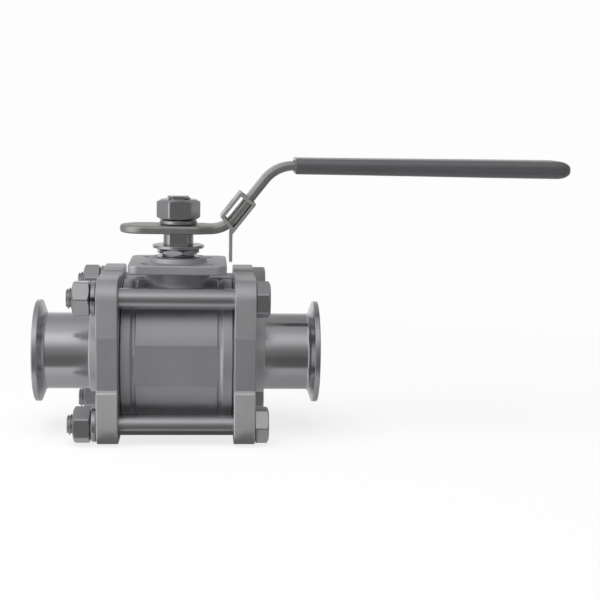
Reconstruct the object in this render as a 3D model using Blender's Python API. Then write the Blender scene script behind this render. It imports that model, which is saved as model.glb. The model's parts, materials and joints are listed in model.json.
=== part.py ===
"""Three-piece ball valve with clamp ferrule ends, a bent strip lever and a sliding lock latch.

All sizes are in metres. The valve is modelled about the crossing of its pipe axis (X) and its stem
axis (Z), under an empty that stands it on its end-cap flanges with the origin under its middle.
"""

import math

import bmesh
import bpy
from mathutils import Matrix, Vector

# Clearance between pieces that touch on the real valve, and between pieces that run on each other
GAP = 0.0003
BALL_CLEARANCE = 0.001

# Pipe ends
BORE_RADIUS = 0.0174
TUBE_WALL = 0.00165
FACE_TO_FACE = 0.1397
FERRULE_LIP = 0.0062
FERRULE_RIM = 0.0026
FERRULE_BACK_ANGLE = math.radians(20)
FERRULE_EDGE = 0.0004
GASKET_GROOVE_INSET = 0.0044
GASKET_GROOVE_WIDTH = 0.0032
HUB_STEP = 0.0015
HUB_LENGTH = 0.0052
HUB_EDGE = 0.0008

# Ball, seats and body seals
BALL_WALL = 0.0096
SEAT_LIP = 0.00615
SEAT_THICKNESS = 0.0093
SEAL_LAND = 0.0018
SEAL_WIDTH = 0.0024
SEAL_THICKNESS = 0.0012

# Middle piece
BODY_WALL = 0.008
BODY_EDGE = 0.0006
RING_WIDTH = 0.0059
RING_GROOVE_WIDTH = 0.0009
RING_GROOVE_DEPTH = 0.001
FLAT_HALF_HEIGHT = 0.0098
SPIGOT_LAND = 0.0012
FLANGE_SPACE = 0.0008

# End-cap flanges and the bolts through their ears
FLANGE_THICKNESS = 0.0102
EAR_RADIUS = 0.0094
WAIST_HALF = 0.0127
WAIST_DEPTH = 0.0014
WAIST_STEP = 0.0008
WAIST_FILLET = 0.0013
FLANGE_EDGE = 0.0009
BOLT_RADIUS = 0.005
BOLT_TO_BODY = 0.0023
BOLT_HEAD_ACROSS = 0.016
BOLT_HEAD_HEIGHT = 0.0064
BOLT_END_BEYOND_NUT = 0.003
BOLT_TIP_EDGE = 0.0008
BODY_NUT_HEIGHT = 0.0084
HEX_BEVEL_ANGLE = math.radians(30)
LOCK_WASHER_THICKNESS = 0.0022
LOCK_WASHER_RADIUS = 0.0083
WASHER_OPENING = math.radians(14)
WASHER_SLANT = math.radians(8)
WASHER_END_STEP = 0.00018

# How far each bolt's head, nut and washer ended up turned, in degrees: front low, back low, front high, back high
BOLT_TURNS = ((30, 3, 200), (48, 40, 65), (8, 27, 265), (20, 12, 140))

# Stem, its packing and the mounting pad
TANG_THICKNESS = 0.008
TANG_WIDTH = 0.017
TANG_DEPTH = 0.0061
COLLAR_RADIUS = 0.010
COLLAR_THICKNESS = 0.0028
COLLAR_ABOVE_CAVITY = 0.0006
STEM_RADIUS = 0.00745
THRUST_WASHER_THICKNESS = 0.0015
SHELF_THICKNESS = 0.004
CHAMBER_RADIUS = 0.0109
CHAMBER_DEPTH = 0.010
PACKING_RINGS = 3
PACKING_THICKNESS = 0.0014
PACKING_VEE = 0.0005
GLAND_THICKNESS = 0.0027
SPRING_THICKNESS = 0.0006
SPRING_CONE = 0.0003
BOSS_RADIUS = 0.0142
BOSS_HEIGHT = 0.002
PAD_HALF = 0.0239
PAD_THICKNESS = 0.0045
PAD_CORNER = 0.005
PAD_EDGE = 0.0006
PAD_HOLE_OFFSET = 0.01485
PAD_HOLE_RADIUS = 0.00275
NECK_RADIUS = 0.0155
NECK_FLARE = 0.002
GLAND_NUT_ACROSS = 0.017
GLAND_NUT_HEIGHT = 0.0034
GLAND_NUT_TURN = math.radians(15)
TAB_WASHER_RADIUS = 0.0127
TAB_WASHER_THICKNESS = 0.0015
TAB_WIDTH = 0.005
TAB_THICKNESS = 0.0012
TAB_LENGTH = 0.0026
SHANK_FLAT = 0.0062
THREAD_RADIUS = 0.006
THREAD_FLAT = 0.0045
THREAD_EDGE = 0.0007

# Lever, grip, its nut and washer
LEVER_ABOVE_PAD = 0.014
LEVER_THICKNESS = 0.004
LEVER_CHAMFER = 0.0005
LEVER_TAIL = 0.02875
LEVER_TAIL_START = math.radians(8)
LEVER_HUB_HALF = 0.012
LEVER_ARM_HALF = 0.009
LEVER_TAPER_LENGTH = 0.010
LEVER_TAPER_TO_CORNER = 0.0044
LEVER_SLOPE = math.radians(52)
LEVER_RISE = 0.0317
LOWER_BEND_RADIUS = 0.015
UPPER_BEND_RADIUS = 0.018
LEVER_REACH = 0.1938
GRIP_WALL = 0.0016
GRIP_SWELL = 0.00045
GRIP_END_WALL = 0.0055
GRIP_NOSE = 0.0065
GRIP_CORNER = 0.0034
GRIP_MOUTH_EDGE = 0.0005
GRIP_TIP_HALF = 0.00045
STEM_NUT_ACROSS = 0.019
STEM_NUT_HEIGHT = 0.010
STEM_NUT_TURN = math.radians(6)
STEM_END_BEYOND_NUT = 0.00165
STEM_WASHER_RADIUS = 0.0093
STEM_WASHER_THICKNESS = 0.0019

# Lock latch
LATCH_SHEET = 0.0015
LATCH_HEADROOM = 0.0025
LATCH_LENGTH = 0.0172
LATCH_START = 0.0021
LATCH_LEAN = 0.0016
LATCH_STRAP = 0.0015
LATCH_DROP = 0.0015
LATCH_BEND_RADIUS = 0.0015
TONGUE_WIDTH = 0.014
TONGUE_BEYOND_BEND = 0.00277
PADLOCK_HOLE_RADIUS = 0.0033

# Facets round a full turn, a fillet, the lever's tail, its taper and its bends
LARGE_STEPS = 32
SMALL_STEPS = 18
FILLET_STEPS = 3
TAIL_STEPS = 8
TAPER_STEPS = 5
BEND_STEPS = 8
GRIP_END_STEPS = 5

# Edges sharper than this stay crisp; the cast barrel's flats meet it at a low angle
SMOOTH_ANGLE = math.radians(32)
CAST_SMOOTH_ANGLE = math.radians(16)
FULL_TURN = 2 * math.pi
WELD = 1e-6

# Radii and half lengths that follow, from the bore out
TUBE_RADIUS = BORE_RADIUS + TUBE_WALL
FERRULE_RADIUS = TUBE_RADIUS + FERRULE_LIP
GASKET_GROOVE_RADIUS = BORE_RADIUS + GASKET_GROOVE_INSET
HUB_RADIUS = TUBE_RADIUS + HUB_STEP
BALL_RADIUS = BORE_RADIUS + BALL_WALL
CAVITY_RADIUS = BALL_RADIUS + BALL_CLEARANCE
SEAL_RADIUS = CAVITY_RADIUS + SEAL_LAND + SEAL_WIDTH / 2
SPIGOT_RADIUS = SEAL_RADIUS + SEAL_WIDTH / 2 + SPIGOT_LAND
BODY_RADIUS = CAVITY_RADIUS + BODY_WALL
BALL_END = math.sqrt(BALL_RADIUS**2 - BORE_RADIUS**2)
BODY_HALF = BALL_END + SEAT_LIP
FLANGE_INNER = BODY_HALF + FLANGE_SPACE
FLANGE_OUTER = FLANGE_INNER + FLANGE_THICKNESS
HALF_FACE = FACE_TO_FACE / 2
BOLT_OFFSET = (BODY_RADIUS + BOLT_TO_BODY + BOLT_RADIUS) / math.sqrt(2)
FLANGE_HALF = BOLT_OFFSET + EAR_RADIUS

# Heights above the pipe axis that follow, from the ball up
COLLAR_BOTTOM = CAVITY_RADIUS + COLLAR_ABOVE_CAVITY
COLLAR_TOP = COLLAR_BOTTOM + COLLAR_THICKNESS
THRUST_BOTTOM = COLLAR_TOP + GAP
THRUST_TOP = THRUST_BOTTOM + THRUST_WASHER_THICKNESS
SHELF_BOTTOM = THRUST_TOP + GAP
CHAMBER_FLOOR = SHELF_BOTTOM + SHELF_THICKNESS
BOSS_TOP = CHAMBER_FLOOR + CHAMBER_DEPTH
PAD_TOP = BOSS_TOP - BOSS_HEIGHT
PAD_BOTTOM = PAD_TOP - PAD_THICKNESS
PACKING_PITCH = PACKING_THICKNESS + GAP
GLAND_BOTTOM = CHAMBER_FLOOR + GAP + PACKING_RINGS * PACKING_PITCH
GLAND_TOP = GLAND_BOTTOM + GLAND_THICKNESS
SPRING_HEIGHT = SPRING_THICKNESS + SPRING_CONE
LOWER_SPRING = GLAND_TOP + GAP
UPPER_SPRING = LOWER_SPRING + SPRING_HEIGHT + GAP
GLAND_NUT_BOTTOM = UPPER_SPRING + SPRING_HEIGHT + GAP
GLAND_NUT_TOP = GLAND_NUT_BOTTOM + GLAND_NUT_HEIGHT
TAB_WASHER_BOTTOM = GLAND_NUT_TOP + GAP
LEVER_BOTTOM = PAD_TOP + LEVER_ABOVE_PAD
LEVER_MIDDLE = LEVER_BOTTOM + LEVER_THICKNESS / 2
LEVER_TOP = LEVER_BOTTOM + LEVER_THICKNESS
STEM_SHOULDER = LEVER_BOTTOM - GAP
STEM_WASHER_BOTTOM = LEVER_TOP + GAP
STEM_NUT_BOTTOM = STEM_WASHER_BOTTOM + STEM_WASHER_THICKNESS + GAP
STEM_NUT_TOP = STEM_NUT_BOTTOM + STEM_NUT_HEIGHT
STEM_TOP = STEM_NUT_TOP + STEM_END_BEYOND_NUT

# Latch and lever bends that follow: the tongue hangs just past the pad's edge when it is down
TONGUE_TIP = PAD_TOP + GAP
TONGUE_MIDDLE = PAD_HALF + GAP + LATCH_SHEET / 2 + LATCH_DROP * math.cos(LEVER_SLOPE)
LOWER_CORNER = TONGUE_MIDDLE - TONGUE_BEYOND_BEND
UPPER_CORNER = LOWER_CORNER + LEVER_RISE / math.tan(LEVER_SLOPE)
LOWER_TANGENT = LOWER_BEND_RADIUS * math.tan(LEVER_SLOPE / 2)
UPPER_TANGENT = UPPER_BEND_RADIUS * math.tan(LEVER_SLOPE / 2)
TAPER_START = LOWER_CORNER - LEVER_TAPER_TO_CORNER - LEVER_TAPER_LENGTH
GRIP_START = UPPER_CORNER + UPPER_TANGENT
GRIP_MIDDLE = LEVER_MIDDLE + LEVER_RISE
BAR_END = LEVER_REACH - GRIP_END_WALL
LATCH_MIDDLE = LATCH_START + LATCH_LENGTH / 2

# The whole valve stands on its flanges, with the origin under the middle of its length
STAND = Vector(((HALF_FACE - LEVER_REACH) / 2, 0, FLANGE_HALF))


def clear_scene():
    for item in list(bpy.data.objects):
        bpy.data.objects.remove(item, do_unlink=True)


def material(name, colour, roughness, metallic):
    surface = bpy.data.materials.new(name)
    surface.use_nodes = True
    shader = surface.node_tree.nodes["Principled BSDF"]
    shader.inputs["Base Color"].default_value = (*colour, 1)
    shader.inputs["Roughness"].default_value = roughness
    shader.inputs["Metallic"].default_value = metallic
    return surface


def to_mesh(shape):
    """Turn a bmesh into a closed mesh that faces out."""
    bmesh.ops.remove_doubles(shape, verts=shape.verts, dist=WELD)
    bmesh.ops.recalc_face_normals(shape, faces=shape.faces)
    mesh = bpy.data.meshes.new("shape")
    shape.to_mesh(mesh)
    shape.free()
    return mesh


def turned(profile, steps=LARGE_STEPS):
    """Spin a closed outline of (radius, height) points round Z."""
    shape = bmesh.new()
    points = [shape.verts.new((radius, 0, height)) for radius, height in profile]
    edges = []
    for start, end in zip(points, points[1:] + points[:1]):
        if start.co.x > 0 or end.co.x > 0:
            edges.append(shape.edges.new((start, end)))
    bmesh.ops.spin(
        shape, geom=points + edges, cent=(0, 0, 0), axis=(0, 0, 1), angle=FULL_TURN, steps=steps, use_merge=True
    )
    return to_mesh(shape)


def cylinder(radius, low, high, steps=SMALL_STEPS):
    return turned([(0, low), (radius, low), (radius, high), (0, high)], steps)


def prism(outline, low, high, edge=0.0):
    """Raise a flat outline of (x, y) points from low to high, with its rims rounded by edge."""
    shape = bmesh.new()
    base = shape.faces.new([shape.verts.new((x, y, low)) for x, y in outline])
    raised = bmesh.ops.extrude_face_region(shape, geom=[base])
    top = [item for item in raised["geom"] if isinstance(item, bmesh.types.BMVert)]
    bmesh.ops.translate(shape, verts=top, vec=(0, 0, high - low))
    if edge:
        rims = [line for line in shape.edges if abs(line.verts[0].co.z - line.verts[1].co.z) < WELD]
        bmesh.ops.bevel(shape, geom=rims, offset=edge, segments=2, profile=0.5, affect="EDGES")
    return to_mesh(shape)


def box(low, high):
    """Make a box between two corners."""
    outline = [(low[0], low[1]), (high[0], low[1]), (high[0], high[1]), (low[0], high[1])]
    return prism(outline, low[2], high[2])


def lofted(sections):
    """Skin a row of matching closed sections and cap both ends."""
    shape = bmesh.new()
    rings = [[shape.verts.new(point) for point in section] for section in sections]
    for ring, following in zip(rings, rings[1:]):
        for index, point in enumerate(ring):
            before = index - 1
            shape.faces.new((ring[before], point, following[index], following[before]))
    shape.faces.new(rings[0])
    shape.faces.new(rings[-1])
    return to_mesh(shape)


def filleted(corners):
    """Round an outline of (x, y, fillet radius) corners."""
    outline = []
    for index, (x, y, radius) in enumerate(corners):
        corner = Vector((x, y))
        if not radius:
            outline.append(corner)
            continue
        back = (Vector(corners[index - 1][:2]) - corner).normalized()
        ahead = (Vector(corners[(index + 1) % len(corners)][:2]) - corner).normalized()
        half = back.angle(ahead) / 2
        centre = corner + (back + ahead).normalized() * radius / math.sin(half)
        start = corner + back * radius / math.tan(half) - centre
        sweep = start.angle_signed(corner + ahead * radius / math.tan(half) - centre)
        steps = max(2, round(abs(sweep) / (math.pi / 2) * FILLET_STEPS * 2))
        for step in range(steps + 1):
            outline.append(centre + Matrix.Rotation(-sweep * step / steps, 2) @ start)
    return [tuple(point) for point in outline]


def moved(mesh, *matrices):
    for matrix in matrices:
        mesh.transform(matrix)
    return mesh


def along_pipe(mesh):
    """Lay a shape made along Z along the pipe."""
    return moved(mesh, Matrix.Rotation(math.pi / 2, 4, "Y"))


def combined(base, tool, operation):
    """Combine two meshes by an exact Boolean, and return the result."""
    holder = bpy.data.objects.new("base", base)
    cutter = bpy.data.objects.new("tool", tool)
    bpy.context.collection.objects.link(holder)
    bpy.context.collection.objects.link(cutter)
    step = holder.modifiers.new("combine", "BOOLEAN")
    step.solver = "EXACT"
    step.operation = operation
    step.object = cutter
    depsgraph = bpy.context.evaluated_depsgraph_get()
    result = bpy.data.meshes.new_from_object(holder.evaluated_get(depsgraph))
    bpy.data.objects.remove(holder, do_unlink=True)
    bpy.data.objects.remove(cutter, do_unlink=True)
    shape = bmesh.new()
    shape.from_mesh(result)
    return to_mesh(shape)


def joined(base, *tools):
    for tool in tools:
        base = combined(base, tool, "UNION")
    return base


def cut(base, *tools):
    for tool in tools:
        base = combined(base, tool, "DIFFERENCE")
    return base


def kept(base, tool):
    """Keep only what two shapes share."""
    return combined(base, tool, "INTERSECT")


def piece(name, mesh, surface, parent, turn=(0, 0, 0), location=(0, 0, 0), smooth=SMOOTH_ANGLE):
    """Place a mesh as a named piece of the valve."""
    mesh.materials.clear()
    mesh.materials.append(surface)
    mesh.shade_smooth()
    mesh.set_sharp_from_angle(angle=smooth)
    item = bpy.data.objects.new(name, mesh)
    item.parent = parent
    item.rotation_euler = turn
    item.location = location
    bpy.context.collection.objects.link(item)
    return item


def pivot(name, parent, location=(0, 0, 0), turn=(0, 0, 0)):
    """Make an empty that carries pieces."""
    empty = bpy.data.objects.new(name, None)
    empty.parent = parent
    empty.location = location
    empty.rotation_euler = turn
    bpy.context.collection.objects.link(empty)
    return empty


def arc(centre, radius, start, end, steps):
    """List points on an arc, with its angles measured from the first axis."""
    points = []
    for step in range(steps + 1):
        angle = start + (end - start) * step / steps
        points.append((centre[0] + radius * math.cos(angle), centre[1] + radius * math.sin(angle)))
    return points


def hexagon(across, turn=0.0):
    corner = across / math.sqrt(3)
    return [(corner * math.cos(turn + k * math.pi / 3), corner * math.sin(turn + k * math.pi / 3)) for k in range(6)]


def turned_blank(across, low, high, bore, low_bevel=True):
    """List the outline that a hex is turned from, with 30 degree bevels at its corners."""
    corner = across / math.sqrt(3)
    drop = (corner - across / 2) * math.tan(HEX_BEVEL_ANGLE)
    start = [(across / 2, low), (corner, low + drop)] if low_bevel else [(corner, low)]
    return [(bore, low), *start, (corner, high - drop), (across / 2, high), (bore, high)]


def hex_nut(across, bore, low, high, turn=0.0):
    """Make a bevelled hex nut about Z."""
    blank = turned(turned_blank(across, low, high, bore), SMALL_STEPS)
    return kept(blank, prism(hexagon(across, turn), low - GAP, high + GAP))


def split_washer(inner, outer, low, high):
    """Make a split spring washer: a ring with a slanting gap, its ends a little out of line."""
    sections = []
    for step in range(SMALL_STEPS + 1):
        share = step / SMALL_STEPS
        middle = WASHER_OPENING / 2 + (FULL_TURN - WASHER_OPENING) * share
        bottom = low + WASHER_END_STEP * share
        top = high - WASHER_END_STEP * (1 - share)
        section = []
        for radius, height, lean in ((inner, bottom, -1), (outer, bottom, -1), (outer, top, 1), (inner, top, 1)):
            angle = middle + lean * WASHER_SLANT / 2
            section.append((radius * math.cos(angle), radius * math.sin(angle), height))
        sections.append(section)
    return lofted(sections)


def middle_piece():
    """Make the barrel with its pad, and bore it for ball, seats, seals and stem."""
    groove_start = BODY_HALF - RING_WIDTH
    barrel = [(0, -BODY_HALF)]
    for side in (-1, 1):
        rows = [
            (BODY_RADIUS - BODY_EDGE, BODY_HALF),
            (BODY_RADIUS, BODY_HALF - BODY_EDGE),
            (BODY_RADIUS, groove_start),
            (BODY_RADIUS - RING_GROOVE_DEPTH, groove_start),
            (BODY_RADIUS - RING_GROOVE_DEPTH, groove_start - RING_GROOVE_WIDTH),
            (BODY_RADIUS, groove_start - RING_GROOVE_WIDTH),
        ]
        barrel += [(radius, side * height) for radius, height in rows[::-side]]
    barrel.append((0, BODY_HALF))
    body = along_pipe(turned(barrel))

    # Round neck, flared into the barrel, then the square pad and its boss
    root = math.sqrt(BODY_RADIUS**2 - (NECK_RADIUS + NECK_FLARE) ** 2) - BODY_WALL / 2
    flare_top = BODY_RADIUS + NECK_FLARE
    neck_rows = [(0, root), (NECK_RADIUS + NECK_FLARE, root), (NECK_RADIUS + NECK_FLARE, BODY_RADIUS - NECK_FLARE)]
    flare_centre = (NECK_RADIUS + 2 * NECK_FLARE, flare_top)
    neck_rows += arc(flare_centre, 2 * NECK_FLARE, math.radians(240), math.pi, FILLET_STEPS + 1)
    neck_rows += [(NECK_RADIUS, PAD_BOTTOM + PAD_EDGE), (0, PAD_BOTTOM + PAD_EDGE)]
    pad_corners = [(x * PAD_HALF, y * PAD_HALF, PAD_CORNER) for x, y in ((1, -1), (1, 1), (-1, 1), (-1, -1))]
    pad = prism(filleted(pad_corners), PAD_BOTTOM, PAD_TOP, PAD_EDGE)
    boss_rows = [
        (0, PAD_TOP - PAD_THICKNESS / 2),
        (BOSS_RADIUS, PAD_TOP - PAD_THICKNESS / 2),
        (BOSS_RADIUS, BOSS_TOP - PAD_EDGE),
        (BOSS_RADIUS - PAD_EDGE, BOSS_TOP),
        (0, BOSS_TOP),
    ]
    body = joined(body, turned(neck_rows), pad, turned(boss_rows))

    # Flats on the front and back of the barrel, from ring to ring
    flat_depth = math.sqrt(BODY_RADIUS**2 - FLAT_HALF_HEIGHT**2)
    for side in (-1, 1):
        near = min(side * flat_depth, side * BODY_RADIUS * 2)
        far = max(side * flat_depth, side * BODY_RADIUS * 2)
        body = cut(body, box((-groove_start, near, -BODY_RADIUS / 2), (groove_start, far, BODY_RADIUS / 2)))

    # Cavity, seal grooves, and the stepped bore for collar, shank and packing
    cavity = along_pipe(cylinder(CAVITY_RADIUS, -BODY_HALF * 2, BODY_HALF * 2, LARGE_STEPS))
    stem_bore = [
        (0, 0),
        (COLLAR_RADIUS + GAP, 0),
        (COLLAR_RADIUS + GAP, SHELF_BOTTOM),
        (STEM_RADIUS + GAP, SHELF_BOTTOM),
        (STEM_RADIUS + GAP, CHAMBER_FLOOR),
        (CHAMBER_RADIUS, CHAMBER_FLOOR),
        (CHAMBER_RADIUS, BOSS_TOP + BOSS_HEIGHT),
        (0, BOSS_TOP + BOSS_HEIGHT),
    ]
    body = cut(body, cavity, turned(stem_bore))
    groove_in = SEAL_RADIUS - SEAL_WIDTH / 2 - GAP
    groove_out = SEAL_RADIUS + SEAL_WIDTH / 2 + GAP
    groove_floor = BODY_HALF - SEAL_THICKNESS - GAP
    for side in (-1, 1):
        rows = [(groove_in, groove_floor), (groove_out, groove_floor), (groove_out, HALF_FACE), (groove_in, HALF_FACE)]
        groove = along_pipe(turned(rows))
        body = cut(body, moved(groove, Matrix.Rotation(math.pi * (side < 0), 4, "Z")))
    for x in (-PAD_HOLE_OFFSET, PAD_HOLE_OFFSET):
        for y in (-PAD_HOLE_OFFSET, PAD_HOLE_OFFSET):
            hole = cylinder(PAD_HOLE_RADIUS, PAD_BOTTOM - PAD_THICKNESS, PAD_TOP + PAD_THICKNESS)
            body = cut(body, moved(hole, Matrix.Translation((x, y, 0))))
    return body


def flange_outline():
    """Outline a square flange with four ears and a set-back waist on each side."""
    waist = FLANGE_HALF - WAIST_DEPTH
    quarter = [
        (waist, WAIST_HALF, WAIST_FILLET),
        (FLANGE_HALF, WAIST_HALF + WAIST_STEP, WAIST_FILLET),
        (FLANGE_HALF, FLANGE_HALF, EAR_RADIUS),
        (WAIST_HALF + WAIST_STEP, FLANGE_HALF, WAIST_FILLET),
        (WAIST_HALF, waist, WAIST_FILLET),
    ]
    corners = []
    for turn in range(4):
        spin = Matrix.Rotation(turn * math.pi / 2, 2)
        for x, y, radius in quarter:
            corners.append((*(spin @ Vector((x, y))), radius))
    return filleted(corners)


def end_cap():
    """Make the right end cap: flange, spigot, hub, tube and clamp ferrule, bored right through."""
    taper = (FERRULE_RADIUS - TUBE_RADIUS) * math.tan(FERRULE_BACK_ANGLE)
    rim_back = HALF_FACE - FERRULE_RIM
    spigot_face = BODY_HALF + GAP
    hub_end = FLANGE_OUTER + HUB_LENGTH
    rows = [
        (0, spigot_face),
        (SPIGOT_RADIUS, spigot_face),
        (SPIGOT_RADIUS, FLANGE_INNER + FLANGE_EDGE),
        (HUB_RADIUS, FLANGE_INNER + FLANGE_EDGE),
        (HUB_RADIUS, hub_end - HUB_EDGE),
        (HUB_RADIUS - HUB_EDGE, hub_end),
        (TUBE_RADIUS, hub_end),
        (TUBE_RADIUS, rim_back - taper),
        (FERRULE_RADIUS - FERRULE_EDGE, rim_back),
        (FERRULE_RADIUS, rim_back + FERRULE_EDGE),
        (FERRULE_RADIUS, HALF_FACE - FERRULE_EDGE),
        (FERRULE_RADIUS - FERRULE_EDGE, HALF_FACE),
    ]
    groove_half = GASKET_GROOVE_WIDTH / 2
    rows += arc((GASKET_GROOVE_RADIUS, HALF_FACE), groove_half, 0, -math.pi, FILLET_STEPS + 1)
    rows.append((0, HALF_FACE))
    flange = prism(flange_outline(), FLANGE_INNER, FLANGE_OUTER, FLANGE_EDGE)
    cap = joined(flange, turned(rows))
    cap = cut(cap, cylinder(BORE_RADIUS, 0, HALF_FACE * 2, LARGE_STEPS))
    for x in (-BOLT_OFFSET, BOLT_OFFSET):
        for y in (-BOLT_OFFSET, BOLT_OFFSET):
            hole = cylinder(BOLT_RADIUS + GAP, BODY_HALF, HALF_FACE)
            cap = cut(cap, moved(hole, Matrix.Translation((x, y, 0))))
    return along_pipe(cap)


def seat():
    """Make the right seat: a ring that fills the cavity's end, hollowed to the ball."""
    inner = BODY_HALF - SEAT_THICKNESS
    running = BALL_RADIUS + GAP
    outer = CAVITY_RADIUS - GAP
    start = math.asin(inner / running)
    lip = math.acos(BORE_RADIUS / running)
    rows = arc((0, 0), running, start, lip, FILLET_STEPS)
    rows += [(BORE_RADIUS, BODY_HALF), (outer, BODY_HALF), (outer, inner)]
    return along_pipe(turned(rows))


def body_seal():
    inner = SEAL_RADIUS - SEAL_WIDTH / 2
    outer = SEAL_RADIUS + SEAL_WIDTH / 2
    floor = BODY_HALF - SEAL_THICKNESS
    return along_pipe(turned([(inner, floor), (outer, floor), (outer, BODY_HALF), (inner, BODY_HALF)]))


def valve_ball():
    """Make the ball: bored along the pipe and slotted across its top for the tang."""
    shape = bmesh.new()
    bmesh.ops.create_uvsphere(shape, u_segments=LARGE_STEPS, v_segments=LARGE_STEPS // 2, radius=BALL_RADIUS)
    ball = to_mesh(shape)
    bore = along_pipe(cylinder(BORE_RADIUS, -BALL_RADIUS * 2, BALL_RADIUS * 2, LARGE_STEPS))
    slot_half = TANG_THICKNESS / 2 + GAP
    slot_floor = BALL_RADIUS - TANG_DEPTH - GAP
    slot = box((-slot_half, -BALL_RADIUS * 2, slot_floor), (slot_half, BALL_RADIUS * 2, BALL_RADIUS * 2))
    return cut(ball, bore, slot)


def stem():
    """Make the stem: tang, collar, shank with two flats, and threaded end with two flats."""
    shank_rows = [
        (0, COLLAR_BOTTOM),
        (COLLAR_RADIUS, COLLAR_BOTTOM),
        (COLLAR_RADIUS, COLLAR_TOP),
        (STEM_RADIUS, COLLAR_TOP),
        (STEM_RADIUS, STEM_SHOULDER),
        (0, STEM_SHOULDER),
    ]
    shaft = turned(shank_rows, SMALL_STEPS)
    wide = COLLAR_RADIUS
    for side in (-1, 1):
        ends = sorted((side * SHANK_FLAT, side * wide))
        shaft = cut(shaft, box((-wide, ends[0], GLAND_NUT_TOP), (wide, ends[1], LEVER_TOP)))
    thread_rows = [
        (0, TAB_WASHER_BOTTOM),
        (THREAD_RADIUS, TAB_WASHER_BOTTOM),
        (THREAD_RADIUS, STEM_TOP - THREAD_EDGE),
        (THREAD_RADIUS - THREAD_EDGE, STEM_TOP),
        (0, STEM_TOP),
    ]
    thread = kept(turned(thread_rows, SMALL_STEPS), box((-wide, -THREAD_FLAT, 0), (wide, THREAD_FLAT, STEM_TOP * 2)))
    tang_low = (-TANG_THICKNESS / 2, -TANG_WIDTH / 2, BALL_RADIUS - TANG_DEPTH)
    tang_high = (TANG_THICKNESS / 2, TANG_WIDTH / 2, COLLAR_BOTTOM + COLLAR_THICKNESS / 2)
    return joined(shaft, thread, box(tang_low, tang_high))


def ring(inner, outer, low, high, steps=LARGE_STEPS):
    return turned([(inner, low), (outer, low), (outer, high), (inner, high)], steps)


def vee_ring(low, edge_high):
    """Make a ring for the packing chamber whose underside has a raised middle."""
    inner = STEM_RADIUS + GAP
    outer = CHAMBER_RADIUS - GAP
    middle = (inner + outer) / 2
    rows = [(inner, low), (middle, low + PACKING_VEE), (outer, low), (outer, edge_high)]
    return rows, (middle, edge_high + PACKING_VEE), (inner, edge_high)


def packing_ring(index):
    low = CHAMBER_FLOOR + GAP + index * PACKING_PITCH
    rows, crest, last = vee_ring(low, low + PACKING_THICKNESS)
    return turned([*rows, crest, last], SMALL_STEPS)


def packing_gland():
    rows, _, last = vee_ring(GLAND_BOTTOM, GLAND_TOP)
    return turned([*rows, last], SMALL_STEPS)


def disc_spring(low, upper):
    """Make a conical spring; the two lie rim to rim."""
    inner = STEM_RADIUS + GAP
    outer = CHAMBER_RADIUS - GAP
    rim = low if upper else low + SPRING_CONE
    eye = low + SPRING_CONE if upper else low
    rows = [(inner, eye), (outer, rim), (outer, rim + SPRING_THICKNESS), (inner, eye + SPRING_THICKNESS)]
    return turned(rows, SMALL_STEPS)


def tab_washer():
    """Make the washer keyed on the shank, with two tabs bent down on the gland nut's flats."""
    top = TAB_WASHER_BOTTOM + TAB_WASHER_THICKNESS
    disc = cylinder(TAB_WASHER_RADIUS, TAB_WASHER_BOTTOM, top)
    reach = GLAND_NUT_ACROSS / 2 + GAP
    for side in (0, math.pi):
        low = (reach, -TAB_WIDTH / 2, TAB_WASHER_BOTTOM - TAB_LENGTH)
        high = (reach + TAB_THICKNESS, TAB_WIDTH / 2, top - TAB_WASHER_THICKNESS / 2)
        tab = moved(box(low, high), Matrix.Rotation(side + GLAND_NUT_TURN, 4, "Z"))
        disc = joined(disc, tab)
    eye = cylinder(STEM_RADIUS + GAP, 0, STEM_TOP)
    flat = SHANK_FLAT + GAP
    keyed = kept(eye, box((-COLLAR_RADIUS, -flat, LEVER_BOTTOM / 2), (COLLAR_RADIUS, flat, LEVER_TOP)))
    return cut(disc, keyed)


def lever_path():
    """List (x, z, slope angle) stations along the middle of the lever's strip."""
    stations = []
    for step in range(TAIL_STEPS + 1):
        angle = LEVER_TAIL_START + (math.pi / 2 - LEVER_TAIL_START) * step / TAIL_STEPS
        stations.append((-LEVER_TAIL + LEVER_HUB_HALF * (1 - math.cos(angle)), LEVER_MIDDLE, 0.0))
    bend_start = LOWER_CORNER - LOWER_TANGENT
    for step in range(TAPER_STEPS):
        x = TAPER_START + LEVER_TAPER_LENGTH * step / TAPER_STEPS
        if x < bend_start - WELD:
            stations.append((x, LEVER_MIDDLE, 0.0))
    for step in range(BEND_STEPS + 1):
        angle = LEVER_SLOPE * step / BEND_STEPS
        x = bend_start + LOWER_BEND_RADIUS * math.sin(angle)
        z = LEVER_MIDDLE + LOWER_BEND_RADIUS * (1 - math.cos(angle))
        stations.append((x, z, angle))
    for step in range(BEND_STEPS + 1):
        angle = LEVER_SLOPE * (1 - step / BEND_STEPS)
        x = UPPER_CORNER + UPPER_TANGENT - UPPER_BEND_RADIUS * math.sin(angle)
        z = GRIP_MIDDLE - UPPER_BEND_RADIUS * (1 - math.cos(angle))
        stations.append((x, z, angle))
    stations.append((BAR_END, GRIP_MIDDLE, 0.0))
    return stations


def lever_half_width(x):
    """Give the strip's half width: a round tail, a wide hub, then a smooth taper to the arm."""
    tail_centre = -LEVER_TAIL + LEVER_HUB_HALF
    if x < tail_centre:
        return math.sqrt(LEVER_HUB_HALF**2 - (tail_centre - x) ** 2)
    share = min(1, max(0, (x - TAPER_START) / LEVER_TAPER_LENGTH))
    smooth = share * share * (3 - 2 * share)
    return LEVER_HUB_HALF + (LEVER_ARM_HALF - LEVER_HUB_HALF) * smooth


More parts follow.
